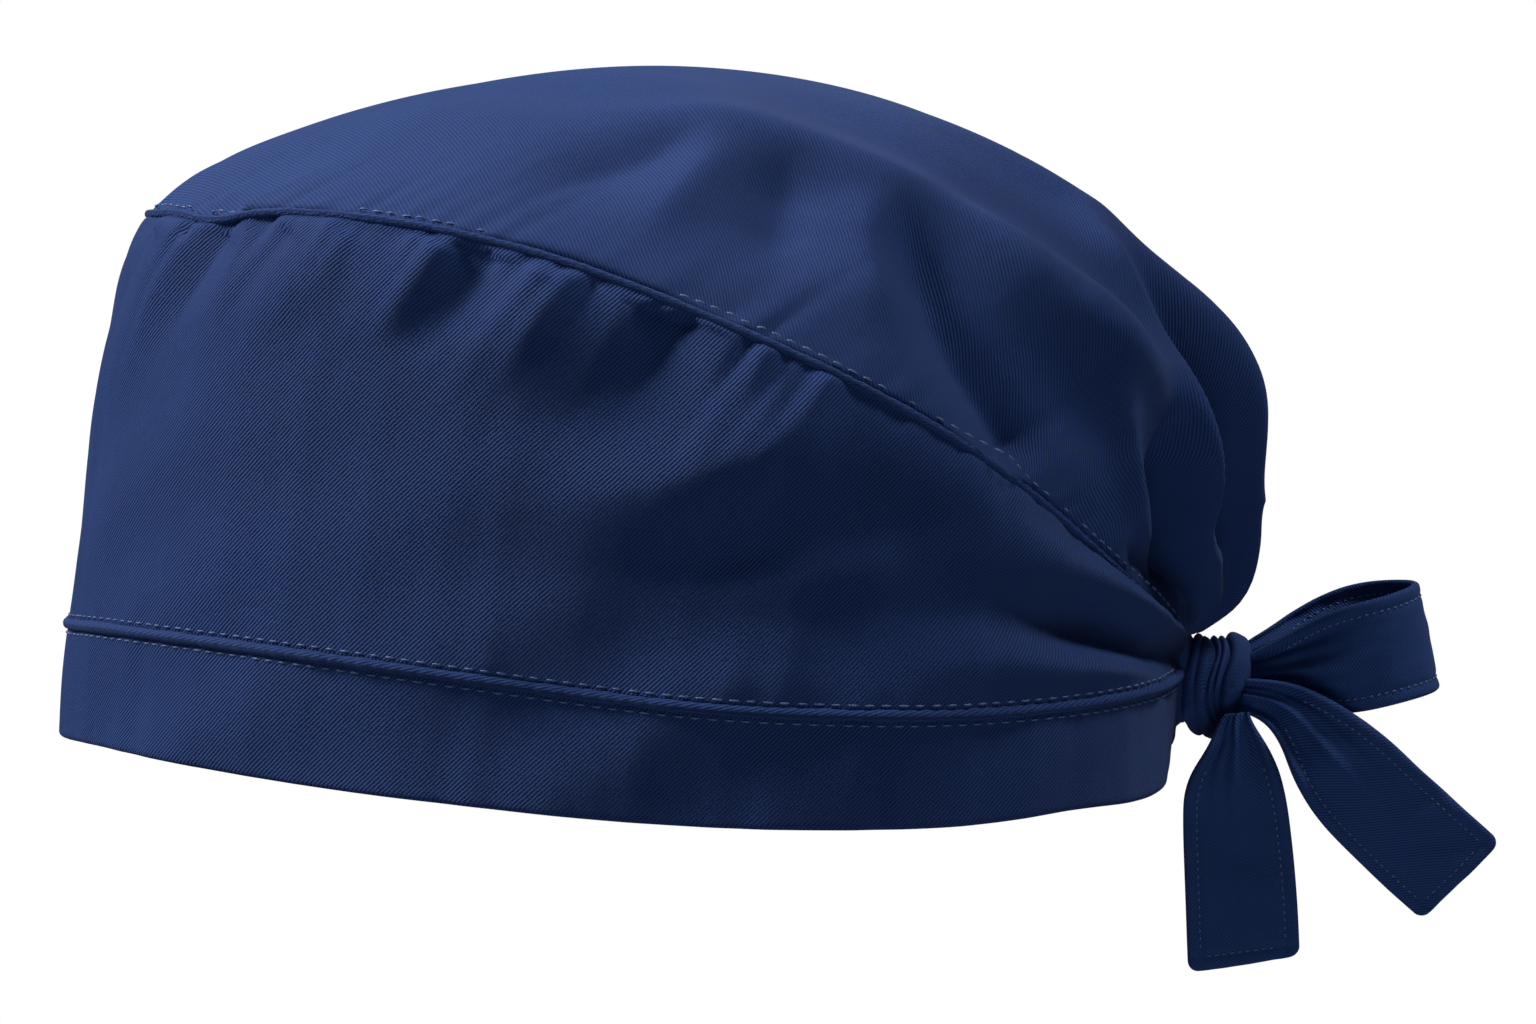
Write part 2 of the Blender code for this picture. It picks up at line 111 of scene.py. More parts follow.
CROWN_FOLD_COLUMNS = ("front_lane", "throat_lane", "start", "width", "lift")
CROWN_FOLDS = (
    (0.86, 0.76, 0.62, 0.075, -0.30),
    (0.66, 0.60, 0.56, 0.085, 0.62),
    (0.44, 0.44, 0.50, 0.080, -0.42),
    (0.16, 0.22, 0.46, 0.080, 1.00),
    (0.02, -0.02, 0.60, 0.080, -0.35),
    (-0.22, -0.26, 0.52, 0.080, 0.85),
    (-0.46, -0.46, 0.50, 0.085, -0.45),
    (-0.70, -0.64, 0.58, 0.085, 0.60),
    (-0.88, -0.80, 0.62, 0.075, -0.30),
)
SIDE_FOLD_COLUMNS = ("front_level", "throat_level", "start", "width", "lift")
SIDE_FOLDS = (
    (0.10, 0.30, 0.72, 0.14, 0.22),
    (0.42, 0.55, 0.66, 0.15, -0.35),
    (0.78, 0.80, 0.70, 0.13, 0.25),
)

TIE_COLUMNS = ("share", "out", "along", "up", "lean", "width", "pleat")
LOOP_STRAP = (
    (0.00, 0.000, 0.000, 0.000, -4.0, 0.34, 0.14),
    (0.10, 0.240, 0.200, 0.040, -6.0, 0.66, 0.10),
    (0.24, 0.700, 0.520, 0.120, -8.0, 0.95, 0.03),
    (0.38, 0.640, 0.830, 0.200, -10.0, 0.98, 0.00),
    (0.50, -0.040, 1.000, 0.250, -12.0, 1.00, 0.00),
    (0.62, -0.780, 0.850, 0.250, -12.0, 0.98, 0.00),
    (0.76, -1.060, 0.530, 0.190, -9.0, 0.95, 0.03),
    (0.90, -0.780, 0.200, 0.110, -6.0, 0.66, 0.10),
    (1.00, -0.520, 0.000, 0.060, -4.0, 0.34, 0.14),
)
NEAR_TAIL_STRAP = (
    (0.00, 0.000, 0.000, 0.000, 84.0, 0.22, 0.14),
    (0.12, 0.008, -0.033, -0.105, 84.0, 0.48, 0.08),
    (0.26, -0.002, -0.050, -0.235, 86.0, 0.80, 0.04),
    (0.45, -0.042, -0.044, -0.415, 88.0, 0.96, 0.01),
    (0.72, -0.062, -0.024, -0.695, 88.0, 1.01, 0.00),
    (1.00, -0.072, -0.009, -1.000, 80.0, 1.03, 0.00),
)
FAR_TAIL_STRAP = (
    (0.00, 0.000, 0.000, 0.000, 10.0, 0.30, 0.14),
    (0.13, 0.050, 0.110, -0.035, 28.0, 0.46, 0.08),
    (0.30, 0.110, 0.265, -0.183, 42.0, 0.82, 0.05),
    (0.55, 0.070, 0.448, -0.382, 43.0, 0.99, 0.01),
    (0.78, 0.020, 0.618, -0.547, 43.0, 1.01, 0.00),
    (1.00, -0.020, 0.762, -0.680, 44.0, 1.01, 0.00),
)

# Where each tie's root sits on the knot's tail end: out, as a share of half the knot's depth, along
# of its length, and up of half its height.
LOOP_ROOT = (0.19, 0.00, 0.19)
NEAR_TAIL_ROOT = (1.155, -0.08, -0.405)
FAR_TAIL_ROOT = (0.75, 0.00, -0.10)

# Gathers and soft folds of the side panel. Each runs through three places, by station share and
# level up the wall. Widths and depth are in mm; a ridge is above 0, a valley below. The fades are
# shares of its length, over which it grows and dies away, and fade_to has to be above 0.
CREASE_COLUMNS = ("s1", "l1", "s2", "l2", "s3", "l3", "width_from", "width_to", "depth",
                  "fade_from", "fade_to")
SIDE_CREASES = (
    (0.060, 0.96, 0.070, 0.86, 0.085, 0.74, 3.0, 4.0, -0.8, 0.0, 0.6),
    (0.130, 0.97, 0.110, 0.86, 0.090, 0.70, 4.0, 6.0, -1.0, 0.0, 0.6),
    (0.165, 0.97, 0.150, 0.84, 0.130, 0.66, 3.5, 5.0, 0.8, 0.0, 0.6),
    (0.205, 0.97, 0.185, 0.85, 0.155, 0.74, 3.5, 5.0, -1.2, 0.0, 0.6),
    (0.230, 0.97, 0.220, 0.85, 0.190, 0.72, 3.0, 5.0, 0.9, 0.0, 0.6),
    (0.265, 0.97, 0.250, 0.88, 0.225, 0.78, 3.0, 4.0, -0.9, 0.0, 0.6),
    (0.310, 0.97, 0.290, 0.86, 0.255, 0.76, 3.0, 5.0, 0.8, 0.0, 0.6),
    (0.372, 0.98, 0.350, 0.84, 0.280, 0.71, 5.0, 9.0, 1.6, 0.0, 0.6),
    (0.405, 0.98, 0.378, 0.84, 0.270, 0.66, 3.6, 11.0, -2.6, 0.0, 0.7),
    (0.445, 0.98, 0.430, 0.85, 0.375, 0.72, 5.0, 9.0, 1.8, 0.0, 0.6),
    (0.522, 0.98, 0.490, 0.79, 0.375, 0.61, 5.5, 13.0, -3.5, 0.0, 0.7),
    (0.640, 0.93, 0.540, 0.68, 0.400, 0.50, 9.0, 11.0, 2.6, 0.3, 0.5),
    (0.740, 0.90, 0.610, 0.60, 0.400, 0.38, 9.0, 13.0, -3.8, 0.3, 0.4),
    (0.700, 0.68, 0.605, 0.53, 0.510, 0.38, 7.0, 8.0, 2.4, 0.4, 0.5),
    (0.990, 0.85, 0.860, 0.82, 0.700, 0.72, 2.6, 10.0, 3.6, 0.0, 0.5),
    (0.990, 0.70, 0.860, 0.665, 0.660, 0.58, 2.2, 9.0, -7.0, 0.0, 0.5),
    (0.780, 0.60, 0.650, 0.50, 0.480, 0.32, 8.0, 10.0, -2.8, 0.4, 0.5),
    (0.985, 0.58, 0.830, 0.52, 0.640, 0.38, 2.4, 9.0, 3.4, 0.0, 0.5),
    (0.985, 0.44, 0.900, 0.38, 0.780, 0.26, 2.0, 6.0, -1.4, 0.0, 0.5),
    (0.840, 0.97, 0.800, 0.93, 0.740, 0.92, 3.0, 4.0, -1.2, 0.3, 0.5),
)
# The same for the crown, by row share and lane from the ridge, at 0, to the left seam, at 1
CROWN_CREASES = (
    (0.182, 0.99, 0.204, 0.93, 0.235, 0.86, 2.4, 4.0, -0.8, 0.0, 0.6),
    (0.216, 0.99, 0.226, 0.91, 0.250, 0.83, 2.4, 4.0, 0.7, 0.0, 0.6),
    (0.340, 0.60, 0.560, 0.60, 0.800, 0.64, 9.0, 6.0, 4.6, 0.3, 0.2),
    (0.450, 0.60, 0.430, 0.74, 0.385, 0.92, 6.0, 8.0, -3.0, 0.4, 0.4),
    (0.470, 0.62, 0.470, 0.78, 0.475, 0.94, 6.0, 6.0, 2.2, 0.4, 0.4),
    (0.505, 0.60, 0.525, 0.76, 0.560, 0.92, 7.0, 8.0, -3.4, 0.4, 0.4),
    (0.555, 0.64, 0.585, 0.76, 0.640, 0.92, 6.0, 6.0, 2.0, 0.4, 0.3),
    (0.570, 0.58, 0.650, 0.82, 0.760, 0.96, 8.0, 6.0, -6.6, 0.4, 0.1),
    (0.600, 0.54, 0.700, 0.68, 0.800, 0.62, 7.0, 6.0, 4.4, 0.4, 0.3),
    (0.740, 0.68, 0.805, 0.80, 0.900, 0.90, 5.0, 3.0, 3.8, 0.4, 0.5),
    (0.775, 0.56, 0.855, 0.72, 0.960, 0.88, 6.0, 2.2, -8.5, 0.4, 0.1),
    (0.650, 0.22, 0.765, 0.46, 0.950, 0.78, 5.5, 2.6, 4.2, 0.3, 0.1),
    (0.670, 0.18, 0.775, 0.32, 0.930, 0.62, 5.0, 3.0, -5.0, 0.5, 0.1),
    (0.850, 0.94, 0.915, 0.91, 0.985, 0.86, 3.0, 1.6, -3.6, 0.2, 0.05),
    (0.840, 0.02, 0.925, 0.08, 0.998, 0.16, 13.0, 7.0, 3.0, 0.95, 0.05),
)
CREASE_POINTS = 9  # points of a crease's line
CREASE_SHAPE = 1.6  # 2 gives round valleys and crests, 1 sharp ones
FAR_CREASES = 0.8  # depth of the far side's creases, as a share of the near side's
FAR_CREASES_FROM = 0.36  # lane from which the far side of the crown has creases
FAR_CREASES_FADE = 0.12  # lanes over which they grow
FAR_PLEATS = 0.6
FAR_SHIFT = 0.7  # so that the far side's gathers aren't the near side's
THROAT_PLEATS = 5  # small pleats from seam to ridge, where the crown meets the knot
THROAT_PLEAT_DEPTH = 0.0016
THROAT_PLEAT_SUNK = 0.6  # share of a pleat that lies below the plain cloth
GATHER_SPACING = 0.0062  # between the pillows of cloth that the seam gathers
GATHER_DEPTH = 0.0022
CROWN_GATHERS = 0.5  # depth of the crown's gathers, as a share of the side panel's
GATHER_FADE = 0.010  # how far from the seam the pillows fade out
GATHER_ROUNDNESS = 0.008  # of the valleys between them
GATHER_SUNK = 0.42  # share of a pillow that lies below the plain cloth
FINE_GATHERS = 0.22  # depth, spacing and fade of the finer pillows among them
FINE_GATHER_SPACING = GATHER_SPACING * 0.45
FINE_GATHER_FADE = 0.005
SEAM_DIP_AT = 0.186  # station where the crown seam dips at the temple
SEAM_DIP_WIDTH = 0.034
SEAM_DIP = 0.0016
PUCKER_LENGTH = 0.0050  # typical spacing of the small puckers along the band's seam
PUCKER_DEPTH = 0.00022
PUCKER_FADE_UP = 0.006
PUCKER_FADE_DOWN = 0.007
SLACK_WAVES = 9
SLACK_TURN = 28.0  # degrees by which single waves of slack cloth turn from the rest
SLACK_LENGTHS = (0.7, 1.7)  # and their lengths, as shares of the usual one
SIDE_SLACK = 0.00042
SIDE_SLACK_LENGTH = 0.030
CROWN_SLACK = 0.0005
CROWN_SLACK_LENGTH = 0.032
SEAM_HOLD = 0.0015  # from a seam, how far its stitches hold the cloth flat
BAND_SEAM_HOLD = 0.0025
SEAM_STITCH = 0.0030  # pitch of the topstitching along the seams
TIE_STITCH = 0.0015  # and along the edges of the ties
STITCH_SHARE = 0.62  # of the pitch that the thread shows
STITCH_RADIUS = 0.00021
STITCH_OFF_ROLL = 0.0007  # from a roll's side to the topstitching beside it
UNDER_BAND_ROLL = 0.55  # where the panels end under a roll, as a share of its radius
UNDER_CROWN_ROLL = 0.4
RUN_HEIGHT = 0.04
ROLL_END = 0.994  # station shares where the rolls and the topstitching end
SEWN_END = 0.965
ROLL_SWELL = 0.10  # how uneven a roll is, and how much each stitch draws it in
ROLL_SWELL_LENGTH = 0.0035
ROLL_PINCH = 0.05
STITCH_UNEVEN = 0.08
CLOSE_BY = np.array([-0.0004, 0, 0.0004])  # beside a line, to read the slope across it

HALF_LENGTH = CAP_LENGTH / 2
HALF_WIDTH = CAP_WIDTH / 2
THROAT = dict(zip(STATION_COLUMNS, STATIONS[-1]))
KNOT_START = THROAT["rim_along"] * HALF_LENGTH + SEAM_GAP
KNOT_END = KNOT_START + KNOT_LENGTH
KNOT_UP = (THROAT["rim_up"] + THROAT["ridge_up"]) / 2 * CAP_HEIGHT - KNOT_DROP
HALF_GIRTH = 0.309  # round the cap from the front to the throat
MM = 0.001


def column(table, columns, name):
    return np.array([row[columns.index(name)] for row in table])


def natural_spline(knots, values, at):
    gaps = np.diff(knots)
    count = len(knots)
    system = np.eye(count)
    right = np.zeros(count)
    for i in range(1, count - 1):
        system[i, i - 1:i + 2] = gaps[i - 1], 2 * (gaps[i - 1] + gaps[i]), gaps[i]
        right[i] = 6 * ((values[i + 1] - values[i]) / gaps[i]
                        - (values[i] - values[i - 1]) / gaps[i - 1])
    bends = np.linalg.solve(system, right)
    cell = np.clip(np.searchsorted(knots, at, side="right") - 1, 0, count - 2)
    gap = gaps[cell]
    after = at - knots[cell]
    before = gap - after
    curved = (bends[cell] * before**3 + bends[cell + 1] * after**3) / (6 * gap)
    start = (values[cell] / gap - bends[cell] * gap / 6) * before
    end = (values[cell + 1] / gap - bends[cell + 1] * gap / 6) * after
    return curved + start + end


def along_table(table, columns, at):
    """A table's other columns, as smooth curves over its shares."""
    knots = column(table, columns, "share")
    return {name: natural_spline(knots, column(table, columns, name), at) for name in columns[1:]}


def lane_value(name, share, both_sides):
    knots = column(STATIONS, STATION_COLUMNS, "share")
    values = column(STATIONS, STATION_COLUMNS, name)
    if both_sides:
        sign = -1 if name.endswith("_out") else 1
        values = np.concatenate([sign * values[:0:-1], values])
        knots = np.concatenate([-knots[:0:-1], knots])
    return natural_spline(knots, values, share)


def lane(piece, share):
    sides = piece != "ridge"
    along = lane_value(piece + "_along", share, sides) * HALF_LENGTH
    up = lane_value(piece + "_up", share, sides) * CAP_HEIGHT
    if piece == "seam":
        up = up - SEAM_DIP * np.exp(-((share - SEAM_DIP_AT) / SEAM_DIP_WIDTH) ** 2)
    out = lane_value(piece + "_out", share, True) * HALF_WIDTH if sides else np.zeros_like(along)
    return np.stack([out, along, up], axis=-1)


def unit(vectors):
    return vectors / np.maximum(np.linalg.norm(vectors, axis=-1, keepdims=True), 1e-12)


def side_of(places):
    """1 on the near side of the cap and -1 on the far side."""
    return np.where(places < 0, -1.0, 1.0)


def mirrored(vectors, side):
    """Points or directions, turned over to the other side where side is -1."""
    turned = vectors.copy()
    turned[..., 0] *= side
    return turned


def lengths_along(points):
    """Length so far at each point of a line, or of every line of a grid."""
    steps = np.linalg.norm(np.diff(points, axis=-2), axis=-1)
    return np.concatenate([np.zeros(steps.shape[:-1] + (1,)), np.cumsum(steps, axis=-1)], axis=-1)


def smooth_step(value):
    value = np.clip(value, 0, 1)
    return value * value * (3 - 2 * value)


def grown(value, start, over):
    """0 up to the start, then rising smoothly to 1."""
    return smooth_step((value - start) / over)


def square_at_throat(vectors, share):
    kept = 1 - grown(share, THROAT_TURN, 1 - THROAT_TURN)
    turned = vectors.copy()
    turned[..., 1] *= kept.reshape(kept.shape + (1,) * (turned.ndim - 1 - kept.ndim))
    return unit(turned)


def fullness(level):
    rising = np.sin(math.pi / 2 * np.minimum(level / SWELL_TOP, 1))
    rounding = np.maximum(0, (level - SWELL_TOP) / (1 - SWELL_TOP)) ** 3
    return rising * (1 - rounding)


def fold_relief(folds, columns, share, lane_at, reach):
    relief = np.zeros(np.broadcast(share, lane_at).shape)
    front_name, throat_name = columns[:2]
    for row in folds:
        fold = dict(zip(columns, row))
        full = grown(share, fold["start"], FOLD_GROWN - fold["start"])
        centre = fold[front_name] + (fold[throat_name] - fold[front_name]) * full
        bump = np.exp(-((lane_at - centre) / fold["width"]) ** 2)
        relief += FOLD_HEIGHT * fold["lift"] * full * bump
    closing = 1 - grown(share, FOLD_CLOSED, 1 - FOLD_CLOSED)
    return relief * np.minimum(1, reach / FOLD_REACH) ** FOLD_TAPER * closing


def grid_normals(grid):
    return unit(np.cross(np.gradient(grid, axis=1), np.gradient(grid, axis=0)))


def band_level(share):
    return BAND_HEIGHT * lane_value("band", share, True)


def noise_line(at, spacing, seed):
    """Smooth noise between -1 and 1 along a line, with its own values for each seed."""
    values = np.random.default_rng(seed).uniform(-1, 1, 997)
    cell = np.floor(at / spacing).astype(int)
    part = smooth_step(at / spacing - cell)
    return values[cell % 997] * (1 - part) + values[(cell + 1) % 997] * part


def gathers(run, below, lean, seed):
    """Pillows of cloth between sharp small valleys, which run down from a seam and fade out."""
    pillow = noise_line(run + lean * below, GATHER_SPACING, seed)
    finer = noise_line(run + 0.5 * lean * below, FINE_GATHER_SPACING, seed + 50)
    risen = np.sqrt(pillow**2 + GATHER_ROUNDNESS) - GATHER_SUNK
    fine = FINE_GATHERS * finer * np.exp(-below / FINE_GATHER_FADE)
    return risen * np.exp(-below / GATHER_FADE) + fine


def throat_pleats(share, place, shift):
    """Sharp pleats that gather the cloth into the knot."""
    wave = np.abs(np.sin(math.pi * (THROAT_PLEATS * place + 0.25 * np.sin(5 * place + shift))))
    full = grown(share, start=0.79, over=0.14) * (1 - grown(share, start=0.965, over=0.03))
    return (wave - THROAT_PLEAT_SUNK) * full * THROAT_PLEAT_DEPTH


def slack_waves(along, up, spacing, lean, seed):
    """Soft undulations of slack cloth, whose crests run about lean degrees up from the row."""
    rng = np.random.default_rng(seed)
    total = np.zeros(np.broadcast(along, up).shape)
    for _ in range(SLACK_WAVES):
        turn = math.radians(lean - 90 + rng.uniform(-SLACK_TURN, SLACK_TURN))
        length = spacing * rng.uniform(*SLACK_LENGTHS)
        phase = rng.uniform(0, 2 * math.pi)
        total += np.sin(2 * math.pi * (along * math.cos(turn) + up * math.sin(turn)) / length
                        + phase)
    return total / math.sqrt(SLACK_WAVES)


def wall_rise(stations):
    """Station shares on either side, and the wall's length there from the rim to the seam."""
    share = np.abs(stations)
    return share, np.linalg.norm(lane("seam", share) - lane("rim", share), axis=-1)


def wall_plain(stations, climb):
    """Points of the side wall, for stations in a row and lengths up the wall from the rim, and
    their outward directions."""
    share, rise = wall_rise(stations)
    side = side_of(stations)
    rim, seam = lane("rim", share), lane("seam", share)
    ahead = lane("rim", share + SLOPE_STEP) + lane("seam", share + SLOPE_STEP)
    run = ahead - lane("rim", share - SLOPE_STEP) - lane("seam", share - SLOPE_STEP)
    outward = square_at_throat(np.cross(run, seam - rim), share)
    band_top = band_level(share)
    level = climb / rise[:, None]
    front_rise = wall_rise(np.zeros(1))[1]
    panel_level = (climb - band_top[:, None]) / (rise - band_top)[:, None]
    folds = fold_relief(SIDE_FOLDS, SIDE_FOLD_COLUMNS, share[:, None], panel_level, rise[:, None])
    folds *= smooth_step(panel_level / SIDE_FOLD_EDGE)
    folds *= smooth_step((1 - panel_level) / SIDE_FOLD_EDGE)
    swell = SIDE_FULLNESS * fullness(level) * (rise / front_rise)[:, None] + folds
    points = rim[:, None] + (seam - rim)[:, None] * level[..., None]
    points = mirrored(points + outward[:, None] * swell[..., None], side[:, None])
    return points, np.broadcast_to(mirrored(outward, side)[:, None], points.shape)


def curve_of(row, surface):
    """A crease's line on a surface, as points through its three places."""
    knots = np.array([0, 0.5, 1])
    at = np.linspace(0, 1, CREASE_POINTS)
    shares = natural_spline(knots, np.array([row["s1"], row["s2"], row["s3"]]), at)
    levels = natural_spline(knots, np.array([row["l1"], row["l2"], row["l3"]]), at)
    return surface(shares, levels)


def crease_relief(points, creases, surface):
    """Depth of all creases at each point, by its distance from each crease's line."""
    flat = points.reshape(-1, 3)
    relief = np.zeros(len(flat))
    for values in creases:
        row = dict(zip(CREASE_COLUMNS, values))
        line = curve_of(row, surface)
        best = np.full(len(flat), 1e9)
        where = np.zeros(len(flat))
        for k in range(len(line) - 1):
            step = line[k + 1] - line[k]
            part = np.clip((flat - line[k]) @ step / (step @ step), 0, 1)
            gap = np.linalg.norm(flat - line[k] - part[:, None] * step, axis=1)
            nearer = gap < best
            best = np.where(nearer, gap, best)
            where = np.where(nearer, (k + part) / (len(line) - 1), where)
        width = (row["width_from"] + (row["width_to"] - row["width_from"]) * where) * MM
        ends = smooth_step(where / max(row["fade_from"], 0.01))
        ends = ends * smooth_step((1 - where) / row["fade_to"])
        relief += row["depth"] * MM * ends * np.exp(-(best / width) ** CREASE_SHAPE)
    return relief.reshape(points.shape[:-1])


def left_wall_line(share, level):
    rise = wall_rise(share)[1]
    return wall_plain(share, (level * rise)[:, None])[0][:, 0]


def wall_point(stations, climb):
    """Points of the finished side wall, with its creases, gathers, puckers and slack."""
    points, outward = wall_plain(stations, climb)
    share, rise = wall_rise(stations)
    band_top = band_level(share)[:, None]
    near = mirrored(points, side_of(stations)[:, None])
    creases = crease_relief(near, SIDE_CREASES, left_wall_line)
    creases = creases * np.where(stations < 0, FAR_CREASES, 1.0)[:, None]
    run = stations * HALF_GIRTH
    from_top = np.maximum(rise[:, None] - climb, 0)
    pulled = gathers((np.abs(run) + np.where(run < 0, FAR_SHIFT, 0.0))[:, None], from_top,
                     lean=0.5, seed=5)
    gathered = grown(share, start=0.02, over=0.12) * (1 - 0.75 * grown(share, start=0.6, over=0.2))
    pulled = pulled * GATHER_DEPTH * gathered[:, None]
    puckers = sum(noise_line(run, PUCKER_LENGTH, seed)[:, None] * np.exp(-np.maximum(away, 0) / fade)
                  for away, fade, seed in ((climb - band_top, PUCKER_FADE_UP, 6),
                                           (band_top - climb, PUCKER_FADE_DOWN, 7)))
    slack = slack_waves(run[:, None], climb, SIDE_SLACK_LENGTH, lean=48, seed=8) * SIDE_SLACK
    held = smooth_step(from_top / SEAM_HOLD)
    seam_held = smooth_step(np.abs(climb - band_top) / BAND_SEAM_HOLD)
    in_panel = grown(climb - band_top, start=-0.002, over=0.012)
    relief = creases * in_panel * held + (puckers * PUCKER_DEPTH) * held * seam_held + slack * held
    relief = relief + pulled * held * in_panel
    relief = relief * (1 - grown(share, start=0.975, over=0.025))[:, None]
    return points + outward * relief[..., None]


def crown_reach(rows):
    """Length that a whole lane measures at the crown's seam, at each row."""
    across = -2 * (1 - CROWN_SHOULDER) * (lane("ridge", rows) - lane("seam", rows))
    across[:, 0] = lane("seam", rows)[:, 0]
    return np.linalg.norm(across, axis=-1)[:, None]


def crown_plain(rows, lanes):
    """Points of the crown for rows in a line and a grid of lanes."""
    seam, ridge = lane("seam", rows), lane("ridge", rows)
    lift = (1 - lanes**2) * (1 + CROWN_SHOULDER * lanes**2)
    points = seam[:, None] + (ridge - seam)[:, None] * lift[..., None]
    points[..., 0] = seam[:, :1] * lanes
    return points


def left_crown_line(rows, lanes):
    return crown_plain(rows, lanes[:, None])[:, 0]


def crown_relief(rows, lanes, points):
    far = lanes < 0
    reach = crown_reach(rows)
    folds = fold_relief(CROWN_FOLDS, CROWN_FOLD_COLUMNS, rows[:, None], lanes, reach)
    folds *= smooth_step((1 - np.abs(lanes)) / CROWN_FOLD_EDGE)
    creases = crease_relief(mirrored(points, side_of(lanes)), CROWN_CREASES, left_crown_line)
    creases *= np.where(far, FAR_CREASES * grown(-lanes, FAR_CREASES_FROM, FAR_CREASES_FADE), 1.0)
    run = rows * HALF_GIRTH
    edge = (1 - np.abs(lanes)) * reach
    pulled = gathers(run[:, None] + np.where(far, FAR_SHIFT, 0.0), edge, lean=-0.3, seed=9)
    pulled = pulled * GATHER_DEPTH * CROWN_GATHERS * (1 - grown(rows, start=0.8, over=0.1))[:, None]
    pleats = throat_pleats(rows[:, None], np.abs(lanes), shift=np.where(far, 2, 0))
    pulled = pulled + pleats * np.where(far, FAR_PLEATS, 1.0)
    slack = slack_waves(run[:, None], -np.abs(lanes) * reach, CROWN_SLACK_LENGTH, lean=-50, seed=10)
    slack = slack * CROWN_SLACK * smooth_step(np.abs(lanes) / 0.4)
    held = smooth_step(edge / SEAM_HOLD) * (1 - grown(rows, start=0.985, over=0.015))[:, None]
    return folds + (creases + pulled + slack) * held


def crown_grid(rows, lanes):
    """Points of the finished crown."""
    points = crown_plain(rows, lanes)
    outward = square_at_throat(-grid_normals(points[:, ::-1])[:, ::-1], rows)
    return points + outward * crown_relief(rows, lanes, points)[..., None]


def new_piece(name, points, faces, uvs, material):
    mesh = bpy.data.meshes.new(name)
    mesh.from_pydata(points.reshape(-1, 3).tolist(), [], faces)
    layer = mesh.uv_layers.new(name="cloth")
    corners = np.zeros(len(mesh.loops), dtype=int)
    mesh.loops.foreach_get("vertex_index", corners)
    layer.data.foreach_set("uv", uvs.reshape(-1, 2)[corners].ravel())
    mesh.materials.append(material)
    mesh.shade_smooth()
    made = bpy.data.objects.new(name, mesh)
    bpy.context.scene.collection.objects.link(made)
    return made


def grid_faces(rows, lanes, start=0, turned=False):
    i, j = np.meshgrid(np.arange(rows - 1), np.arange(lanes - 1), indexing="ij")
    a = start + i * lanes + j
    quads = np.stack([a, a + 1, a + 1 + lanes, a + lanes], axis=-1).reshape(-1, 4)
    return (quads[:, ::-1] if turned else quads).tolist()


def cloth_sheet(name, outer, inward, wall, uvs, material):
    """A closed sheet with an outer face, an inner face and a flat edge between them."""
    rows, lanes = outer.shape[:2]
    behind = rows * lanes
    faces = grid_faces(rows, lanes) + grid_faces(rows, lanes, behind, True)
    edge = list(range(lanes))
    edge += [i * lanes + lanes - 1 for i in range(1, rows)]
    edge += [(rows - 1) * lanes + j for j in range(lanes - 2, -1, -1)]
    edge += [i * lanes for i in range(rows - 2, 0, -1)]
    for a, b in zip(edge, edge[1:] + edge[:1]):
        faces.append((b, a, behind + a, behind + b))
    points = np.stack([outer, outer + inward * wall])
    return new_piece(name, points, faces, np.stack([uvs, uvs]), material)


def tube_faces(count, sides, start=0):
    faces = []
    for i in range(count - 1):
        for j in range(sides):
            k = (j + 1) % sides
            faces.append((start + i * sides + j, start + i * sides + k,
                          start + (i + 1) * sides + k, start + (i + 1) * sides + j))
    faces.append(tuple(start + j for j in range(sides - 1, -1, -1)))
    faces.append(tuple(start + (count - 1) * sides + j for j in range(sides)))
    return faces


def uv_grid(along, across):
    """Flat coordinates of a grid, from a length for each row and one for each point."""
    return np.stack([np.broadcast_to(along[:, None], across.shape), across], axis=-1)


def tube_uvs(rings):
    """Lengths along and round a tube."""
    return uv_grid(lengths_along(rings.mean(axis=1)), lengths_along(rings))


def new_tube(name, rings, uvs, material):
    return new_piece(name, rings, tube_faces(*rings.shape[:2]), uvs, material)


# Materials

def add(tree, kind, **inputs):
    node = tree.nodes.new(kind)
    for key, value in inputs.items():
        node.inputs[key.replace("_", " ")].default_value = value
    return node


def math_node(tree, operation, *values):
    node = tree.nodes.new("ShaderNodeMath")
    node.operation = operation
    for socket, value in zip(node.inputs, values):
        if isinstance(value, (int, float)):
            socket.default_value = value
        else:
            tree.links.new(value, socket)
    return node.outputs[0]


# Ends of the twill's colour. The weave moves it between them as painted highlight on the ribs and
# painted shade between them; the clouds move it as the cloth's own uneven tone.
NAVY_DARK_TONE_AND_RIB_SHADE = (0.0012, 0.0052, 0.026)
NAVY_LIGHT_TONE_AND_RIB_HIGHLIGHT = (0.0124, 0.0438, 0.179)
# The ties' cloth is lighter only because they came out too dark beside the photo.
# Painted light: the cap's own navy, painted lighter to stand in for the light that falls on the
# ties.
PAINTED_LIT_TIE_DARK_TONE_AND_RIB_SHADE = (0.0016, 0.0068, 0.032)
PAINTED_LIT_TIE_LIGHT_TONE_AND_RIB_HIGHLIGHT = (0.0170, 0.0570, 0.218)
TWILL_PERIOD = 0.00064  # from one diagonal rib of the weave to the next
FINE_PERIOD = 0.00052
THREAD_LENGTH = 0.00042  # a thread's float within a rib
RIB_WAVER = 2.4
RIB_SHARE = 0.85  # of the weave
THREAD_SHARE = 0.42
WEAVE_SHARE = 0.80  # of the step from dark to light, as painted highlight on the ribs and painted shade between them
CLOUD_SHARE = 0.30
THREAD_PLY_PAINTED_SHADE = 0.7  # painted shade between the sewing thread's plies, as a share of its colour


def weighted(tree, a, share_a, b, share_b):
    return math_node(tree, "ADD", math_node(tree, "MULTIPLY", a, share_a),
                     math_node(tree, "MULTIPLY", b, share_b))


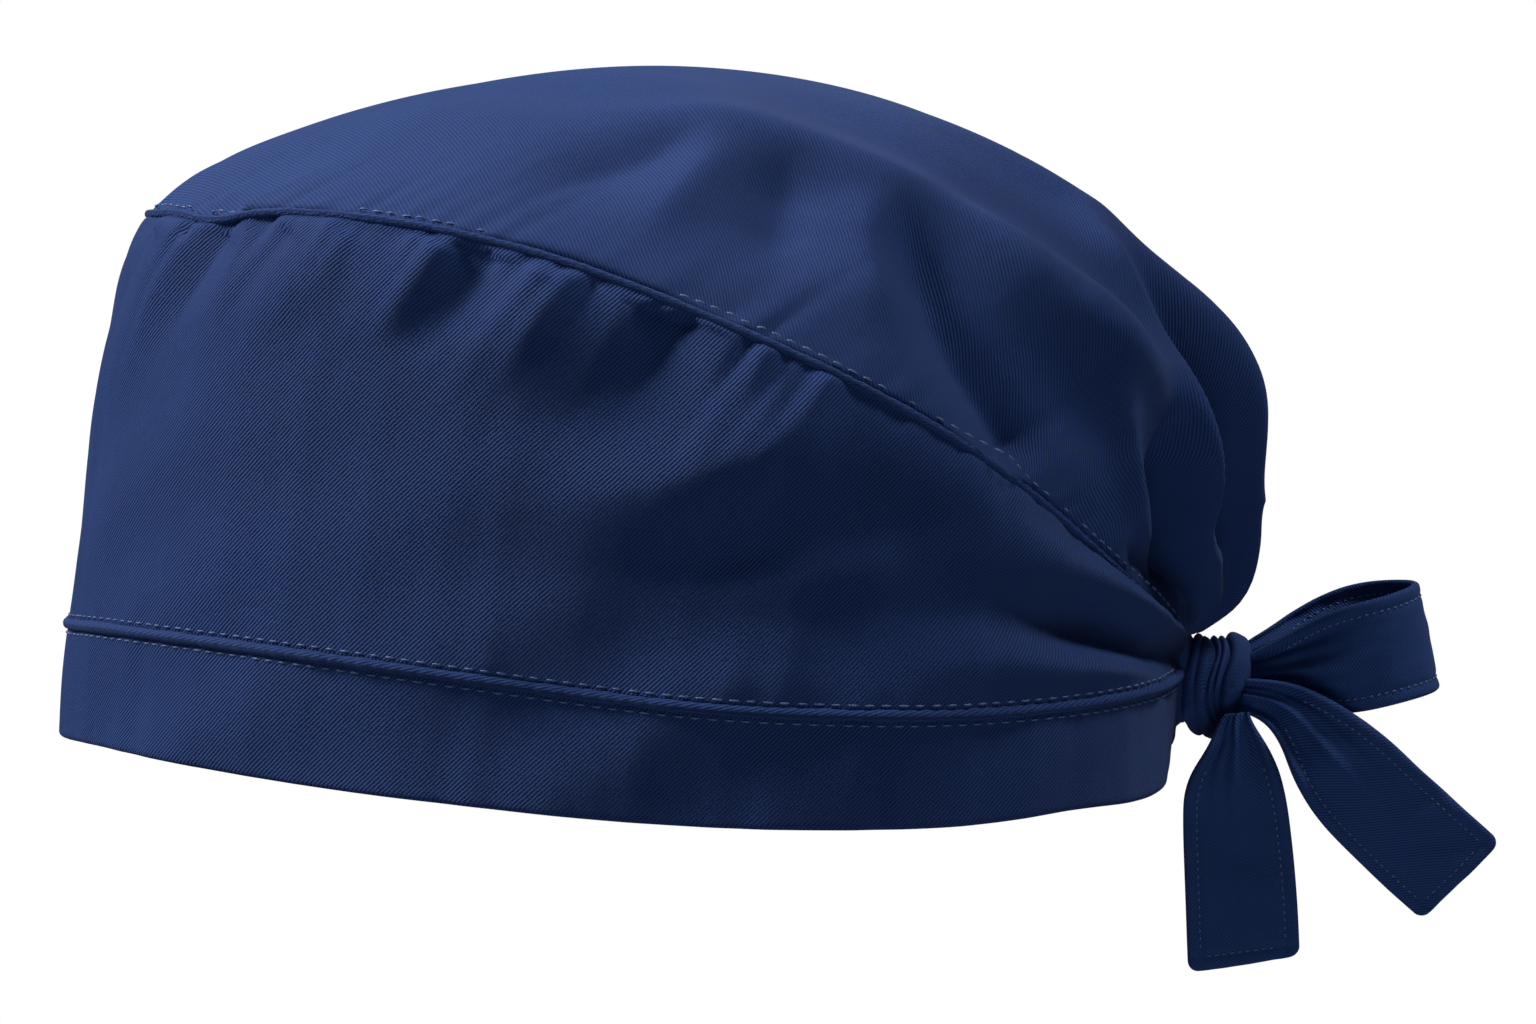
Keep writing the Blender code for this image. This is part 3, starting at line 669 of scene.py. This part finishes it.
def noise(tree, place, scale, detail, roughness):
    node = add(tree, "ShaderNodeTexNoise", Scale=scale, Detail=detail, Roughness=roughness)
    tree.links.new(place, node.inputs["Vector"])
    return node.outputs[0]


def bump(tree, height, strength, distance):
    node = add(tree, "ShaderNodeBump", Strength=strength, Distance=distance)
    tree.links.new(height, node.inputs["Height"])
    return node


def colour_between(tree, share, dark, light, shader):
    mix = tree.nodes.new("ShaderNodeMix")
    mix.data_type = "RGBA"
    mix.inputs[6].default_value = (*dark, 1)
    mix.inputs[7].default_value = (*light, 1)
    tree.links.new(share, mix.inputs[0])
    tree.links.new(mix.outputs[2], shader.inputs["Base Color"])


def new_material(name):
    """A material with its nodes, its shader and the flat coordinates of the cloth."""
    material = bpy.data.materials.new(name)
    material.use_nodes = True
    tree = material.node_tree
    place = tree.nodes.new("ShaderNodeUVMap")
    place.uv_map = "cloth"
    return material, tree, tree.nodes["Principled BSDF"], place.outputs[0]


def cloth_material(name, period=TWILL_PERIOD, weave_bump=0.9, angle=48.0, dark=NAVY_DARK_TONE_AND_RIB_SHADE,
                   light=NAVY_LIGHT_TONE_AND_RIB_HIGHLIGHT):
    """Twill: diagonal ribs broken into threads, with painted highlight on the ribs and painted shade
    between them, slubs, faint cloudiness and a soft sheen.
    """
    material, tree, shader, place = new_material(name)
    parts = tree.nodes.new("ShaderNodeSeparateXYZ")
    tree.links.new(place, parts.inputs[0])
    u, v = parts.outputs[0], parts.outputs[1]
    turn = math.radians(angle)
    over = weighted(tree, u, math.sin(turn), v, -math.cos(turn))
    down = weighted(tree, u, math.cos(turn), v, math.sin(turn))
    waver = noise(tree, place, scale=420.0, detail=2.0, roughness=0.6)
    wavered = weighted(tree, over, 2 * math.pi / period, waver, RIB_WAVER)
    wave = math_node(tree, "SINE", math_node(tree, "MULTIPLY", wavered, 0.5))
    rib = math_node(tree, "ABSOLUTE", wave)
    joined = tree.nodes.new("ShaderNodeCombineXYZ")
    tree.links.new(math_node(tree, "MULTIPLY", over, 1 / period), joined.inputs[0])
    tree.links.new(math_node(tree, "MULTIPLY", down, 1 / THREAD_LENGTH), joined.inputs[1])
    threads = noise(tree, joined.outputs[0], scale=1.3, detail=2.0, roughness=0.55)
    weave = weighted(tree, rib, RIB_SHARE, threads, THREAD_SHARE)
    cloud = noise(tree, place, scale=34.0, detail=4.0, roughness=0.55)
    colour_between(tree, weighted(tree, weave, WEAVE_SHARE, cloud, CLOUD_SHARE), dark, light, shader)
    rough = math_node(tree, "ADD", math_node(tree, "MULTIPLY", threads, 0.14), 0.72)
    tree.links.new(rough, shader.inputs["Roughness"])
    crumples = noise(tree, place, scale=230.0, detail=3.0, roughness=0.6)
    soft = bump(tree, crumples, strength=0.35, distance=0.0004)
    fine = bump(tree, weave, strength=weave_bump, distance=0.00022)
    tree.links.new(soft.outputs[0], fine.inputs["Normal"])
    tree.links.new(fine.outputs[0], shader.inputs["Normal"])
    shader.inputs["Sheen Weight"].default_value = 0.05
    shader.inputs["Sheen Roughness"].default_value = 0.45
    shader.inputs["Sheen Tint"].default_value = (0.55, 0.68, 1.0, 1)
    shader.inputs["Specular IOR Level"].default_value = 0.22
    return material


def thread_material(name, colour):
    """Sewing thread: two twisted plies, with painted shade between them, and a soft gloss."""
    material, tree, shader, place = new_material(name)
    twist = add(tree, "ShaderNodeTexWave", Scale=900.0, Distortion=1.0)
    twist.bands_direction = "DIAGONAL"
    tree.links.new(place, twist.inputs["Vector"])
    # painted shade in the grooves between the plies
    shaded = [c * THREAD_PLY_PAINTED_SHADE for c in colour]
    colour_between(tree, twist.outputs[1], shaded, colour, shader)
    plies = bump(tree, twist.outputs[1], strength=0.4, distance=0.00005)
    tree.links.new(plies.outputs[0], shader.inputs["Normal"])
    shader.inputs["Roughness"].default_value = 0.5
    return material


SIDE_CLOTH = cloth_material("side_twill")
CROWN_CLOTH = cloth_material("crown_twill", FINE_PERIOD, weave_bump=0.6)
BAND_CLOTH = cloth_material("band_twill")
PIPING_CLOTH = cloth_material("piping_twill", period=0.0006, weave_bump=0.6, angle=20.0)
KNOT_CLOTH = cloth_material("knot_twill", FINE_PERIOD, weave_bump=0.4)
# The ties' cloth, painted lighter as painted light on the ties.
PAINTED_LIT_TIE_CLOTH = cloth_material("tie_twill_painted_lit", FINE_PERIOD, weave_bump=0.5, dark=PAINTED_LIT_TIE_DARK_TONE_AND_RIB_SHADE,
                           light=PAINTED_LIT_TIE_LIGHT_TONE_AND_RIB_HIGHLIGHT)
THREAD = thread_material("navy_thread", (0.080, 0.140, 0.320))


# Panels

def wall_run(stations):
    """Length round the wall at each station, RUN_HEIGHT up from the rim."""
    return lengths_along(wall_plain(stations, np.full((len(stations), 1), RUN_HEIGHT))[0][:, 0])


def make_side_panel(stations):
    share, rise = wall_rise(stations)
    low = band_level(share) + BAND_PIPING_RADIUS * UNDER_BAND_ROLL
    high = rise - CROWN_PIPING_RADIUS * UNDER_CROWN_ROLL
    climb = low[:, None] + (high - low)[:, None] * np.linspace(0, 1, SIDE_LEVELS + 1)
    outer = wall_point(stations, climb)
    inward = square_at_throat(grid_normals(outer), share)
    return cloth_sheet("side_panel_cloth", outer, inward, PANEL_WALL,
                       uv_grid(wall_run(stations), climb), SIDE_CLOTH)


def make_headband(stations):
    hem = BAND_WALL / 2
    top = band_level(np.abs(stations)) - BAND_PIPING_RADIUS * UNDER_BAND_ROLL
    turns = np.linspace(0, math.pi, HEM_POINTS)[1:-1]
    down = np.linspace(1, 0, BAND_LEVELS)
    outer_climb = hem + (top[:, None] - hem) * down
    fold_climb = np.broadcast_to(hem - hem * np.sin(turns), (len(stations), len(turns)))
    climb = np.concatenate([outer_climb, fold_climb, outer_climb[:, ::-1]], axis=1)
    inset = np.concatenate([np.zeros(BAND_LEVELS), hem - hem * np.cos(turns),
                            np.full(BAND_LEVELS, BAND_WALL)])
    face = wall_point(stations, np.maximum(climb, 0))
    outward = wall_plain(stations, climb)[1]
    length = np.where(inset > hem, 2 * BAND_HEIGHT - climb, climb)
    return new_tube("headband_cloth", face - outward * inset[None, :, None],
                    uv_grid(wall_run(stations), length), BAND_CLOTH)


def make_crown_panel():
    rows = np.linspace(CROWN_FRONT, 1, CROWN_ROWS)
    lanes = np.linspace(-1, 1, CROWN_LANES + 1)
    at = lanes * (1 - CROWN_PIPING_RADIUS * UNDER_CROWN_ROLL / crown_reach(rows))
    outer = crown_grid(rows, at)[:, ::-1]
    inward = square_at_throat(grid_normals(outer), rows)
    ridge = CROWN_LANES // 2
    width = lengths_along(outer)
    uvs = uv_grid(lengths_along(outer[:, ridge]), width[:, ridge][:, None] - width)
    return cloth_sheet("crown_cloth", outer, inward, PANEL_WALL, uvs, CROWN_CLOTH)


def rings_round(centres, side, upright, radius, sides):
    """A tube's rings, each of which starts towards its side."""
    turns = np.linspace(0, 2 * math.pi, sides, endpoint=False)[None, :, None]
    ring = side[:, None] * np.cos(turns) + upright[:, None] * np.sin(turns)
    return centres[:, None] + ring * radius[:, None, None]


def make_roll(name, centres, outward, radius, seed):
    """A corded roll along a seam, a little uneven from stitch to stitch."""
    run = unit(np.gradient(centres, axis=0))
    side = unit(outward - run * np.sum(outward * run, axis=-1, keepdims=True))
    length = lengths_along(centres)
    uneven = 1 + ROLL_SWELL * noise_line(length, ROLL_SWELL_LENGTH, seed)
    uneven = uneven + ROLL_PINCH * np.sin(length * 2 * math.pi / SEAM_STITCH)
    rings = rings_round(centres, side, np.cross(side, run), radius * uneven, PIPING_SIDES)
    return new_tube(name, rings, tube_uvs(rings), PIPING_CLOTH)


def stitches(name, rows_of_stitches, pitch):
    """Topstitching: each stitch is a thread that arches out of the cloth and dives back in."""
    points, faces, uvs = [], [], []
    count = 0
    t = np.linspace(0, 1, STITCH_RINGS)
    arch = np.sin(math.pi * t)
    radius = STITCH_RADIUS * (0.45 + 0.55 * arch**0.5)
    above = STITCH_RADIUS * (arch * 0.9 - 0.35)
    for path, outward in rows_of_stitches:
        length = lengths_along(path)
        for n, start in enumerate(np.arange(pitch * 0.5, length[-1] - pitch, pitch)):
            at = start + t * pitch * STITCH_SHARE * (1 + STITCH_UNEVEN * math.sin(n * 2.4))
            centre = np.stack([np.interp(at, length, path[:, k]) for k in range(3)], axis=-1)
            face = unit(np.stack([np.interp(at, length, outward[:, k]) for k in range(3)], axis=-1))
            beside = np.cross(unit(np.gradient(centre, axis=0)), face)
            body = rings_round(centre + face * above[:, None], face, beside, radius, STITCH_SIDES)
            points.append(body)
            uvs.append(tube_uvs(body))
            faces += tube_faces(STITCH_RINGS, STITCH_SIDES, count)
            count += STITCH_RINGS * STITCH_SIDES
    return new_piece(name, np.concatenate(points), faces, np.concatenate(uvs), THREAD)


def middle_of(points):
    """The middle one of three close lines, and the outward directions along it."""
    along = np.gradient(points[:, 1], axis=0)
    return points[:, 1], unit(np.cross(along, points[:, 2] - points[:, 0]))


def wall_path(stations, climb_of):
    share, rise = wall_rise(stations)
    return middle_of(wall_point(stations, climb_of(share, rise)[:, None] + CLOSE_BY))


def crown_path(back_from_seam, sign):
    rows = np.linspace(CROWN_FRONT + 0.015, 0.985, CROWN_PATH_ROWS)
    lanes = 1 - (back_from_seam + CLOSE_BY) / crown_reach(rows)
    path, outward = middle_of(crown_grid(rows, sign * lanes))
    return path, outward * sign


# The knot and its ties

# One row for each groove between the knot's wraps: where it lies along the knot, as a share of its
# length, at the top, above and at and below the middle of the near side, at the bottom and at the
# far side; how deep it is and how wide, in mm.
KNOT_GROOVE_COLUMNS = ("top", "upper", "middle", "lower", "bottom", "far", "depth", "width")
GROOVE_TURNS = (90.0, 45.0, 0.0, -45.0, -90.0, -180.0, -270.0)
KNOT_GROOVES = (
    (0.16, 0.12, 0.02, 0.02, 0.06, 0.10, 1.3, 0.50),
    (0.30, 0.26, 0.18, 0.24, 0.32, 0.28, 0.6, 0.45),
    (0.38, 0.48, 0.355, 0.47, 0.58, 0.44, 1.6, 0.50),
    (0.50, 0.56, 0.450, 0.56, 0.66, 0.56, 1.3, 0.42),
    (0.60, 0.68, 0.550, 0.63, 0.74, 0.66, 1.7, 0.50),
    (1.10, 1.06, 0.900, 0.72, 0.80, 0.90, 1.5, 0.60),
)
# The knot's own outline: share of its length, and how far up, down and out it reaches, as shares of
# half its height and half its depth.
KNOT_OUTLINE_COLUMNS = ("share", "above", "below", "out")
KNOT_OUTLINE = (
    (0.00, 1.02, 0.72, 0.86),
    (0.08, 1.00, 0.82, 0.90),
    (0.20, 0.99, 0.92, 0.95),
    (0.34, 0.97, 1.00, 0.99),
    (0.52, 0.99, 1.00, 1.00),
    (0.72, 1.00, 0.86, 1.00),
    (0.88, 0.92, 0.70, 0.92),
    (0.96, 0.72, 0.56, 0.74),
    (1.00, 0.46, 0.40, 0.50),
)
NECK_LENGTH = 0.0026  # of gathered cloth that the knot holds inside the throat
NECK_FLARE = 1.30
GROOVE_SHAPE = 1.1  # 2 gives round valleys, 1 sharp ones
KNOT_CRINKLE = 0.00010
BOXY_START = 0.55  # how boxy the knot is where it leaves the throat; 1 is round
BOXY_REACH = 0.12


def groove_depth(share, turns):
    """How far the valleys between the wraps cut in, over shares of the length and turns."""
    total = np.zeros(np.broadcast(share, turns).shape)
    order = np.radians(-np.array(GROOVE_TURNS))
    at = np.mod(-turns - order[0], 2 * math.pi) + order[0]
    for values in KNOT_GROOVES:
        groove = dict(zip(KNOT_GROOVE_COLUMNS, values))
        names = ("top", "upper", "middle", "lower", "bottom", "far", "top")
        line = natural_spline(order, np.array([groove[name] for name in names]), at)
        away = np.abs(share - line) * KNOT_LENGTH
        total += groove["depth"] * MM * np.exp(-(away / (groove["width"] * MM)) ** GROOVE_SHAPE)
    return total


def make_knot():
    """The knot's wraps, as one rounded body with valleys between them."""
    share = 0.5 - 0.5 * np.cos(np.linspace(0, math.pi, KNOT_RINGS))
    share = 0.5 * share + 0.5 * np.linspace(0, 1, KNOT_RINGS)
    turns = np.linspace(0, 2 * math.pi, KNOT_SIDES, endpoint=False)
    outline = along_table(KNOT_OUTLINE, KNOT_OUTLINE_COLUMNS, share)
    above, below, out = (outline[name][:, None] for name in ("above", "below", "out"))
    crinkle = slack_waves(share[:, None] * KNOT_LENGTH, turns[None] * KNOT_HEIGHT / 2, 0.004,
                          lean=70, seed=31)
    valley = groove_depth(share[:, None], turns[None]) - KNOT_CRINKLE * crinkle
    tall = np.where(np.sin(turns) > 0, above, below) * KNOT_HEIGHT / 2
    deep = out * KNOT_DEPTH / 2
    boxy = (BOXY_START + (1 - BOXY_START) * smooth_step(share / BOXY_REACH))[:, None]
    across, upright = (np.sign(wave) * np.abs(wave) ** boxy for wave in
                       (np.cos(turns)[None], np.sin(turns)[None]))
    points = np.stack([(deep - valley) * across,
                       np.broadcast_to((KNOT_START + KNOT_LENGTH * share)[:, None], valley.shape),
                       (tall - valley) * upright + KNOT_UP], axis=-1)
    middle = np.array([0, 0, KNOT_UP])
    tucked = (points[:1] - middle) * (NECK_FLARE, 1, NECK_FLARE) + middle
    tucked = tucked - np.array([0, NECK_LENGTH, 0])
    points = np.concatenate([tucked, points])[:, ::-1]
    return new_tube("knot_cloth", points, tube_uvs(points), KNOT_CLOTH)


CORNER_RADIUS = 0.0022
CORNER_RINGS = 8
STITCH_INSET = 0.0026
STITCH_SEAT = 0.66  # where the stitches lie in a strap's half thickness
TUCK = 0.0020  # how far each tie's root goes into the knot
TUCK_REACH = 0.0050
PLEATS = 2.5
PLEAT_FINE = 0.34  # a strap's small pleats and its main one, as shares of the table's
PLEAT_MAIN = 0.75
TIE_SLACK = 0.00030
TIE_CRINKLE = 0.00006
LOOSE_FROM = 0.008  # length from the knot over which a strap comes loose
SEW_PINCH = 0.34  # how far and how wide the topstitching presses a strap together
SEW_PINCH_WIDTH = 0.0006
END_ROUND = 0.0008


def strap_stitches(length, across, place, half_width, middle, face, free_end):
    """Rows of stitches along both edges of both faces, and across a free end."""
    rows = []
    seat = TIE_THICKNESS / 2 * STITCH_SEAT
    first, last = (0.010, STITCH_INSET) if free_end else (LOOSE_FROM, LOOSE_FROM)
    kept = np.where((length > first) & (length < length[-1] - last))[0]
    inset = 1 - STITCH_INSET / half_width[kept]
    for sign in (-1, 1):
        path = np.array([[np.interp(sign * inset[n], across, middle[i, :, k]) for k in range(3)]
                         for n, i in enumerate(kept)])
        for face_sign in (-1, 1):
            out = face[kept] * face_sign
            rows.append((path + out * seat, out))
    if free_end:
        row = int(np.argmin(np.abs(length[-1] - length - STITCH_INSET)))
        inside = np.abs(place[row]) < half_width[row] - STITCH_INSET
        for face_sign in (-1, 1):
            out = np.broadcast_to(face[row] * face_sign, (inside.sum(), 3))
            rows.append((middle[row][inside] + out * seat, out))
    return rows


def make_strap(name, strap, root, out_reach, reach, square_ends=(), free_end=False, seed=20):
    """A doubled, topstitched strap, pleated where it leaves the knot and rounded at its free end.
    Gives back the piece and its rows of stitches."""
    at = np.linspace(0, 1, STRAP_RINGS)
    if free_end:
        corner = (CORNER_RADIUS / reach) * np.linspace(0.9, 0, CORNER_RINGS) ** 2
        at = np.unique(np.round(np.concatenate([at[:-1], 1 - corner]), 6))
    read = along_table(strap, TIE_COLUMNS, at)
    centre = np.stack([read["out"] * out_reach + root[0] * KNOT_DEPTH / 2,
                       read["along"] * reach + root[1] * KNOT_LENGTH + KNOT_END + SEAM_GAP,
                       read["up"] * reach + root[2] * KNOT_HEIGHT / 2 + KNOT_UP], axis=-1)
    run = unit(np.gradient(centre, at, axis=0))
    for end in square_ends:
        run[end] = (0, 1 if end == 0 else -1, 0)
    from_root = np.linalg.norm(centre - centre[0], axis=-1)
    if not free_end:
        from_root = np.minimum(from_root, np.linalg.norm(centre - centre[-1], axis=-1))
    centre[:, 1] -= TUCK * np.exp(-(from_root / TUCK_REACH) ** 2)
    lean = np.radians(read["lean"])
    width = np.stack([0 * lean, np.sin(lean), np.cos(lean)], axis=-1)
    face = unit(np.cross(run, width))
    length = lengths_along(centre)
    to_end = (length[-1] - length)[:, None]
    full_width = (TIE_WIDTH * read["width"])[:, None]
    half_width = full_width / 2
    if free_end:
        left = np.maximum(CORNER_RADIUS - to_end, 0)
        half_width = half_width - (CORNER_RADIUS - np.sqrt(CORNER_RADIUS**2 - left**2))
    across = np.sin(np.linspace(-math.pi / 2, math.pi / 2, STRAP_LANES + 1) * 0.999)
    across = 0.45 * across + 0.55 * np.linspace(-1, 1, STRAP_LANES + 1)
    place = across * half_width
    ripple = np.cos(across * PLEATS * 2 * math.pi) * PLEAT_FINE
    ripple = (ripple + np.cos(across * 2 * math.pi) * PLEAT_MAIN) * full_width
    slack = slack_waves(length[:, None], place, 0.013, lean=60, seed=seed) * TIE_SLACK
    slack = slack + slack_waves(length[:, None], place, 0.005, lean=20, seed=seed + 1) * TIE_CRINKLE
    loose = smooth_step(length / LOOSE_FROM)[:, None]
    middle = centre[:, None] + width[:, None] * place[..., None]
    middle = middle + face[:, None] * (ripple * read["pleat"][:, None] + slack * loose)[..., None]
    from_edge = half_width - np.abs(place)
    round_off = np.maximum(1 - from_edge / (TIE_THICKNESS / 2), 0)
    edge = np.sqrt(np.maximum(1 - round_off**2, 0.05))
    pinch = 1 - SEW_PINCH * np.exp(-((from_edge - STITCH_INSET) / SEW_PINCH_WIDTH) ** 2) * loose
    if free_end:
        pinch = pinch * (1 - SEW_PINCH * np.exp(-((to_end - STITCH_INSET) / SEW_PINCH_WIDTH) ** 2))
        edge = edge * np.sqrt(np.maximum(1 - np.maximum(1 - to_end / END_ROUND, 0) ** 2, 0.06))
    half = face[:, None] * (TIE_THICKNESS / 2 * edge * pinch)[..., None]
    rings = np.concatenate([middle - half, (middle + half)[:, ::-1]], axis=1)
    flat = uv_grid(length, place)
    piece = new_tube(name, rings, np.concatenate([flat, flat[:, ::-1]], axis=1), PAINTED_LIT_TIE_CLOTH)
    return piece, strap_stitches(length, across, place, half_width[:, 0], middle, face, free_end)


def build_cap():
    stations = np.linspace(-1, 1, WALL_STATIONS + 1)
    rolled = np.linspace(-1, 1, PIPING_STATIONS + 1) * ROLL_END
    sewn = np.linspace(-1, 1, PIPING_STATIONS + 1) * SEWN_END
    side = make_side_panel(stations)
    band = make_headband(stations)
    crown = make_crown_panel()
    crown_roll = make_roll("crown_piping_cloth", *wall_path(rolled, lambda share, rise: rise),
                           CROWN_PIPING_RADIUS, seed=11)
    band_roll = make_roll("band_piping_cloth",
                          *wall_path(rolled, lambda share, rise: band_level(share)),
                          BAND_PIPING_RADIUS, seed=12)
    beside = BAND_PIPING_RADIUS + STITCH_OFF_ROLL
    above = wall_path(sewn, lambda share, rise: band_level(share) + beside)
    below = wall_path(sewn, lambda share, rise: band_level(share) - beside)
    left = crown_path(CROWN_PIPING_RADIUS + STITCH_OFF_ROLL, 1)
    right = crown_path(CROWN_PIPING_RADIUS + STITCH_OFF_ROLL, -1)
    band_stitches = stitches("band_topstitch", [above, below], SEAM_STITCH)
    crown_stitches = stitches("crown_topstitch", [left, right], SEAM_STITCH)
    knot = make_knot()
    loop, loop_rows = make_strap("loop_cloth", LOOP_STRAP, LOOP_ROOT, LOOP_SPREAD, LOOP_REACH,
                                 square_ends=(0, -1), seed=20)
    near, near_rows = make_strap("near_tail_cloth", NEAR_TAIL_STRAP, NEAR_TAIL_ROOT,
                                 NEAR_TAIL_LENGTH, NEAR_TAIL_LENGTH, free_end=True, seed=24)
    far, far_rows = make_strap("far_tail_cloth", FAR_TAIL_STRAP, FAR_TAIL_ROOT, FAR_TAIL_LENGTH,
                               FAR_TAIL_LENGTH, square_ends=(0,), free_end=True, seed=28)
    loop_stitches = stitches("loop_topstitch", loop_rows, TIE_STITCH)
    near_stitches = stitches("near_tail_topstitch", near_rows, TIE_STITCH)
    far_stitches = stitches("far_tail_topstitch", far_rows, TIE_STITCH)
    worn = (
        (side, "side_panel", "side_panel_cloth"),
        (band, "headband", "headband_cloth"),
        (crown, "crown_panel", "crown_cloth"),
        (crown_roll, "crown_piping", "crown_piping_cloth"),
        (band_roll, "band_piping", "band_piping_cloth"),
        (knot, "tie_knot", "knot_cloth"),
        (loop, "bow_loop", "loop_cloth"),
        (near, "tie_tail_near", "near_tail_cloth"),
        (far, "tie_tail_far", "far_tail_cloth"),
        (band_stitches, None, "headband_cloth"),
        (crown_stitches, None, "crown_cloth"),
        (loop_stitches, None, "loop_cloth"),
        (near_stitches, None, "near_tail_cloth"),
        (far_stitches, None, "far_tail_cloth"),
    )
    for piece, node, slot in worn:
        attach(piece, "root")
        if node:
            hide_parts(node)


# Studio

CAMERA_AZIMUTH = 97.0
CAMERA_ELEVATION = 4.0
CAMERA_DISTANCE = 0.832
LENS = 100
CAMERA_AIM = (0.0, 0.0298, 0.0507)
LIGHTS_AIM = (0.0, 0.0, 0.06)
STUDIO_RADIUS = 6.0
FLOOR_UP = -0.16

# Name, azimuth and elevation in degrees, distance and size in metres, and watts
SOFTBOXES = (
    ("key_softbox", 8, 40, 2.2, 0.7, 64),
    ("top_softbox", 180, 62, 1.8, 0.5, 18),
    ("low_fill", 106, -32, 2.2, 1.4, 9),
    ("back_fill", 250, 20, 2.2, 1.2, 2),
)


def put_round(data, aim, azimuth, elevation, distance):
    """A camera or lamp at a distance from its aim, and turned to it."""
    a, e = math.radians(azimuth), math.radians(elevation)
    back = Vector((math.sin(a) * math.cos(e), -math.cos(a) * math.cos(e), math.sin(e)))
    made = bpy.data.objects.new(data.name, data)
    made.location = Vector(aim) + back * distance
    made.rotation_mode = "QUATERNION"
    made.rotation_quaternion = back.to_track_quat("Z", "Y")
    bpy.context.scene.collection.objects.link(made)
    return made


def add_camera():
    data = bpy.data.cameras.new("studio_camera")
    data.lens = LENS
    data.sensor_width = 36
    data.clip_start = 0.01
    bpy.context.scene.camera = put_round(data, CAMERA_AIM, CAMERA_AZIMUTH, CAMERA_ELEVATION,
                                         CAMERA_DISTANCE)


def add_light(name, azimuth, elevation, distance, size, watts):
    data = bpy.data.lights.new(name, "AREA")
    data.shape = "DISK"
    data.size = size
    data.energy = watts
    put_round(data, LIGHTS_AIM, azimuth, elevation, distance)


def glow_material(name):
    """Paper that glows evenly white, whatever light falls on it."""
    material = bpy.data.materials.new(name)
    material.use_nodes = True
    shader = material.node_tree.nodes["Principled BSDF"]
    shader.inputs["Base Color"].default_value = (0, 0, 0, 1)
    shader.inputs["Roughness"].default_value = 0.9
    shader.inputs["Specular IOR Level"].default_value = 0.0
    shader.inputs["Emission Color"].default_value = (1, 1, 1, 1)
    shader.inputs["Emission Strength"].default_value = 1.0
    return material


def add_studio():
    bpy.ops.mesh.primitive_circle_add(vertices=96, radius=STUDIO_RADIUS, fill_type="NGON",
                                      location=(0, 0, FLOOR_UP))
    floor = bpy.context.object
    bpy.ops.mesh.primitive_uv_sphere_add(segments=64, ring_count=32, radius=STUDIO_RADIUS,
                                         location=(0, 0, FLOOR_UP))
    backdrop = bpy.context.object
    for stage, part in ((floor, "floor"), (backdrop, "backdrop")):
        stage.name = "studio_" + part
        stage.data.materials.append(glow_material(part + "_paper"))
        stage.visible_diffuse = False
        stage.visible_glossy = False
        stage.visible_shadow = False
    world = bpy.data.worlds.new("studio_world")
    world.use_nodes = True
    world.node_tree.nodes["Background"].inputs["Color"].default_value = (0.92, 0.95, 1.0, 1)
    world.node_tree.nodes["Background"].inputs["Strength"].default_value = 0.10
    bpy.context.scene.world = world
    bpy.context.scene.view_settings.view_transform = "Standard"
    for softbox in SOFTBOXES:
        add_light(*softbox)


build_cap()
add_camera()
add_studio()
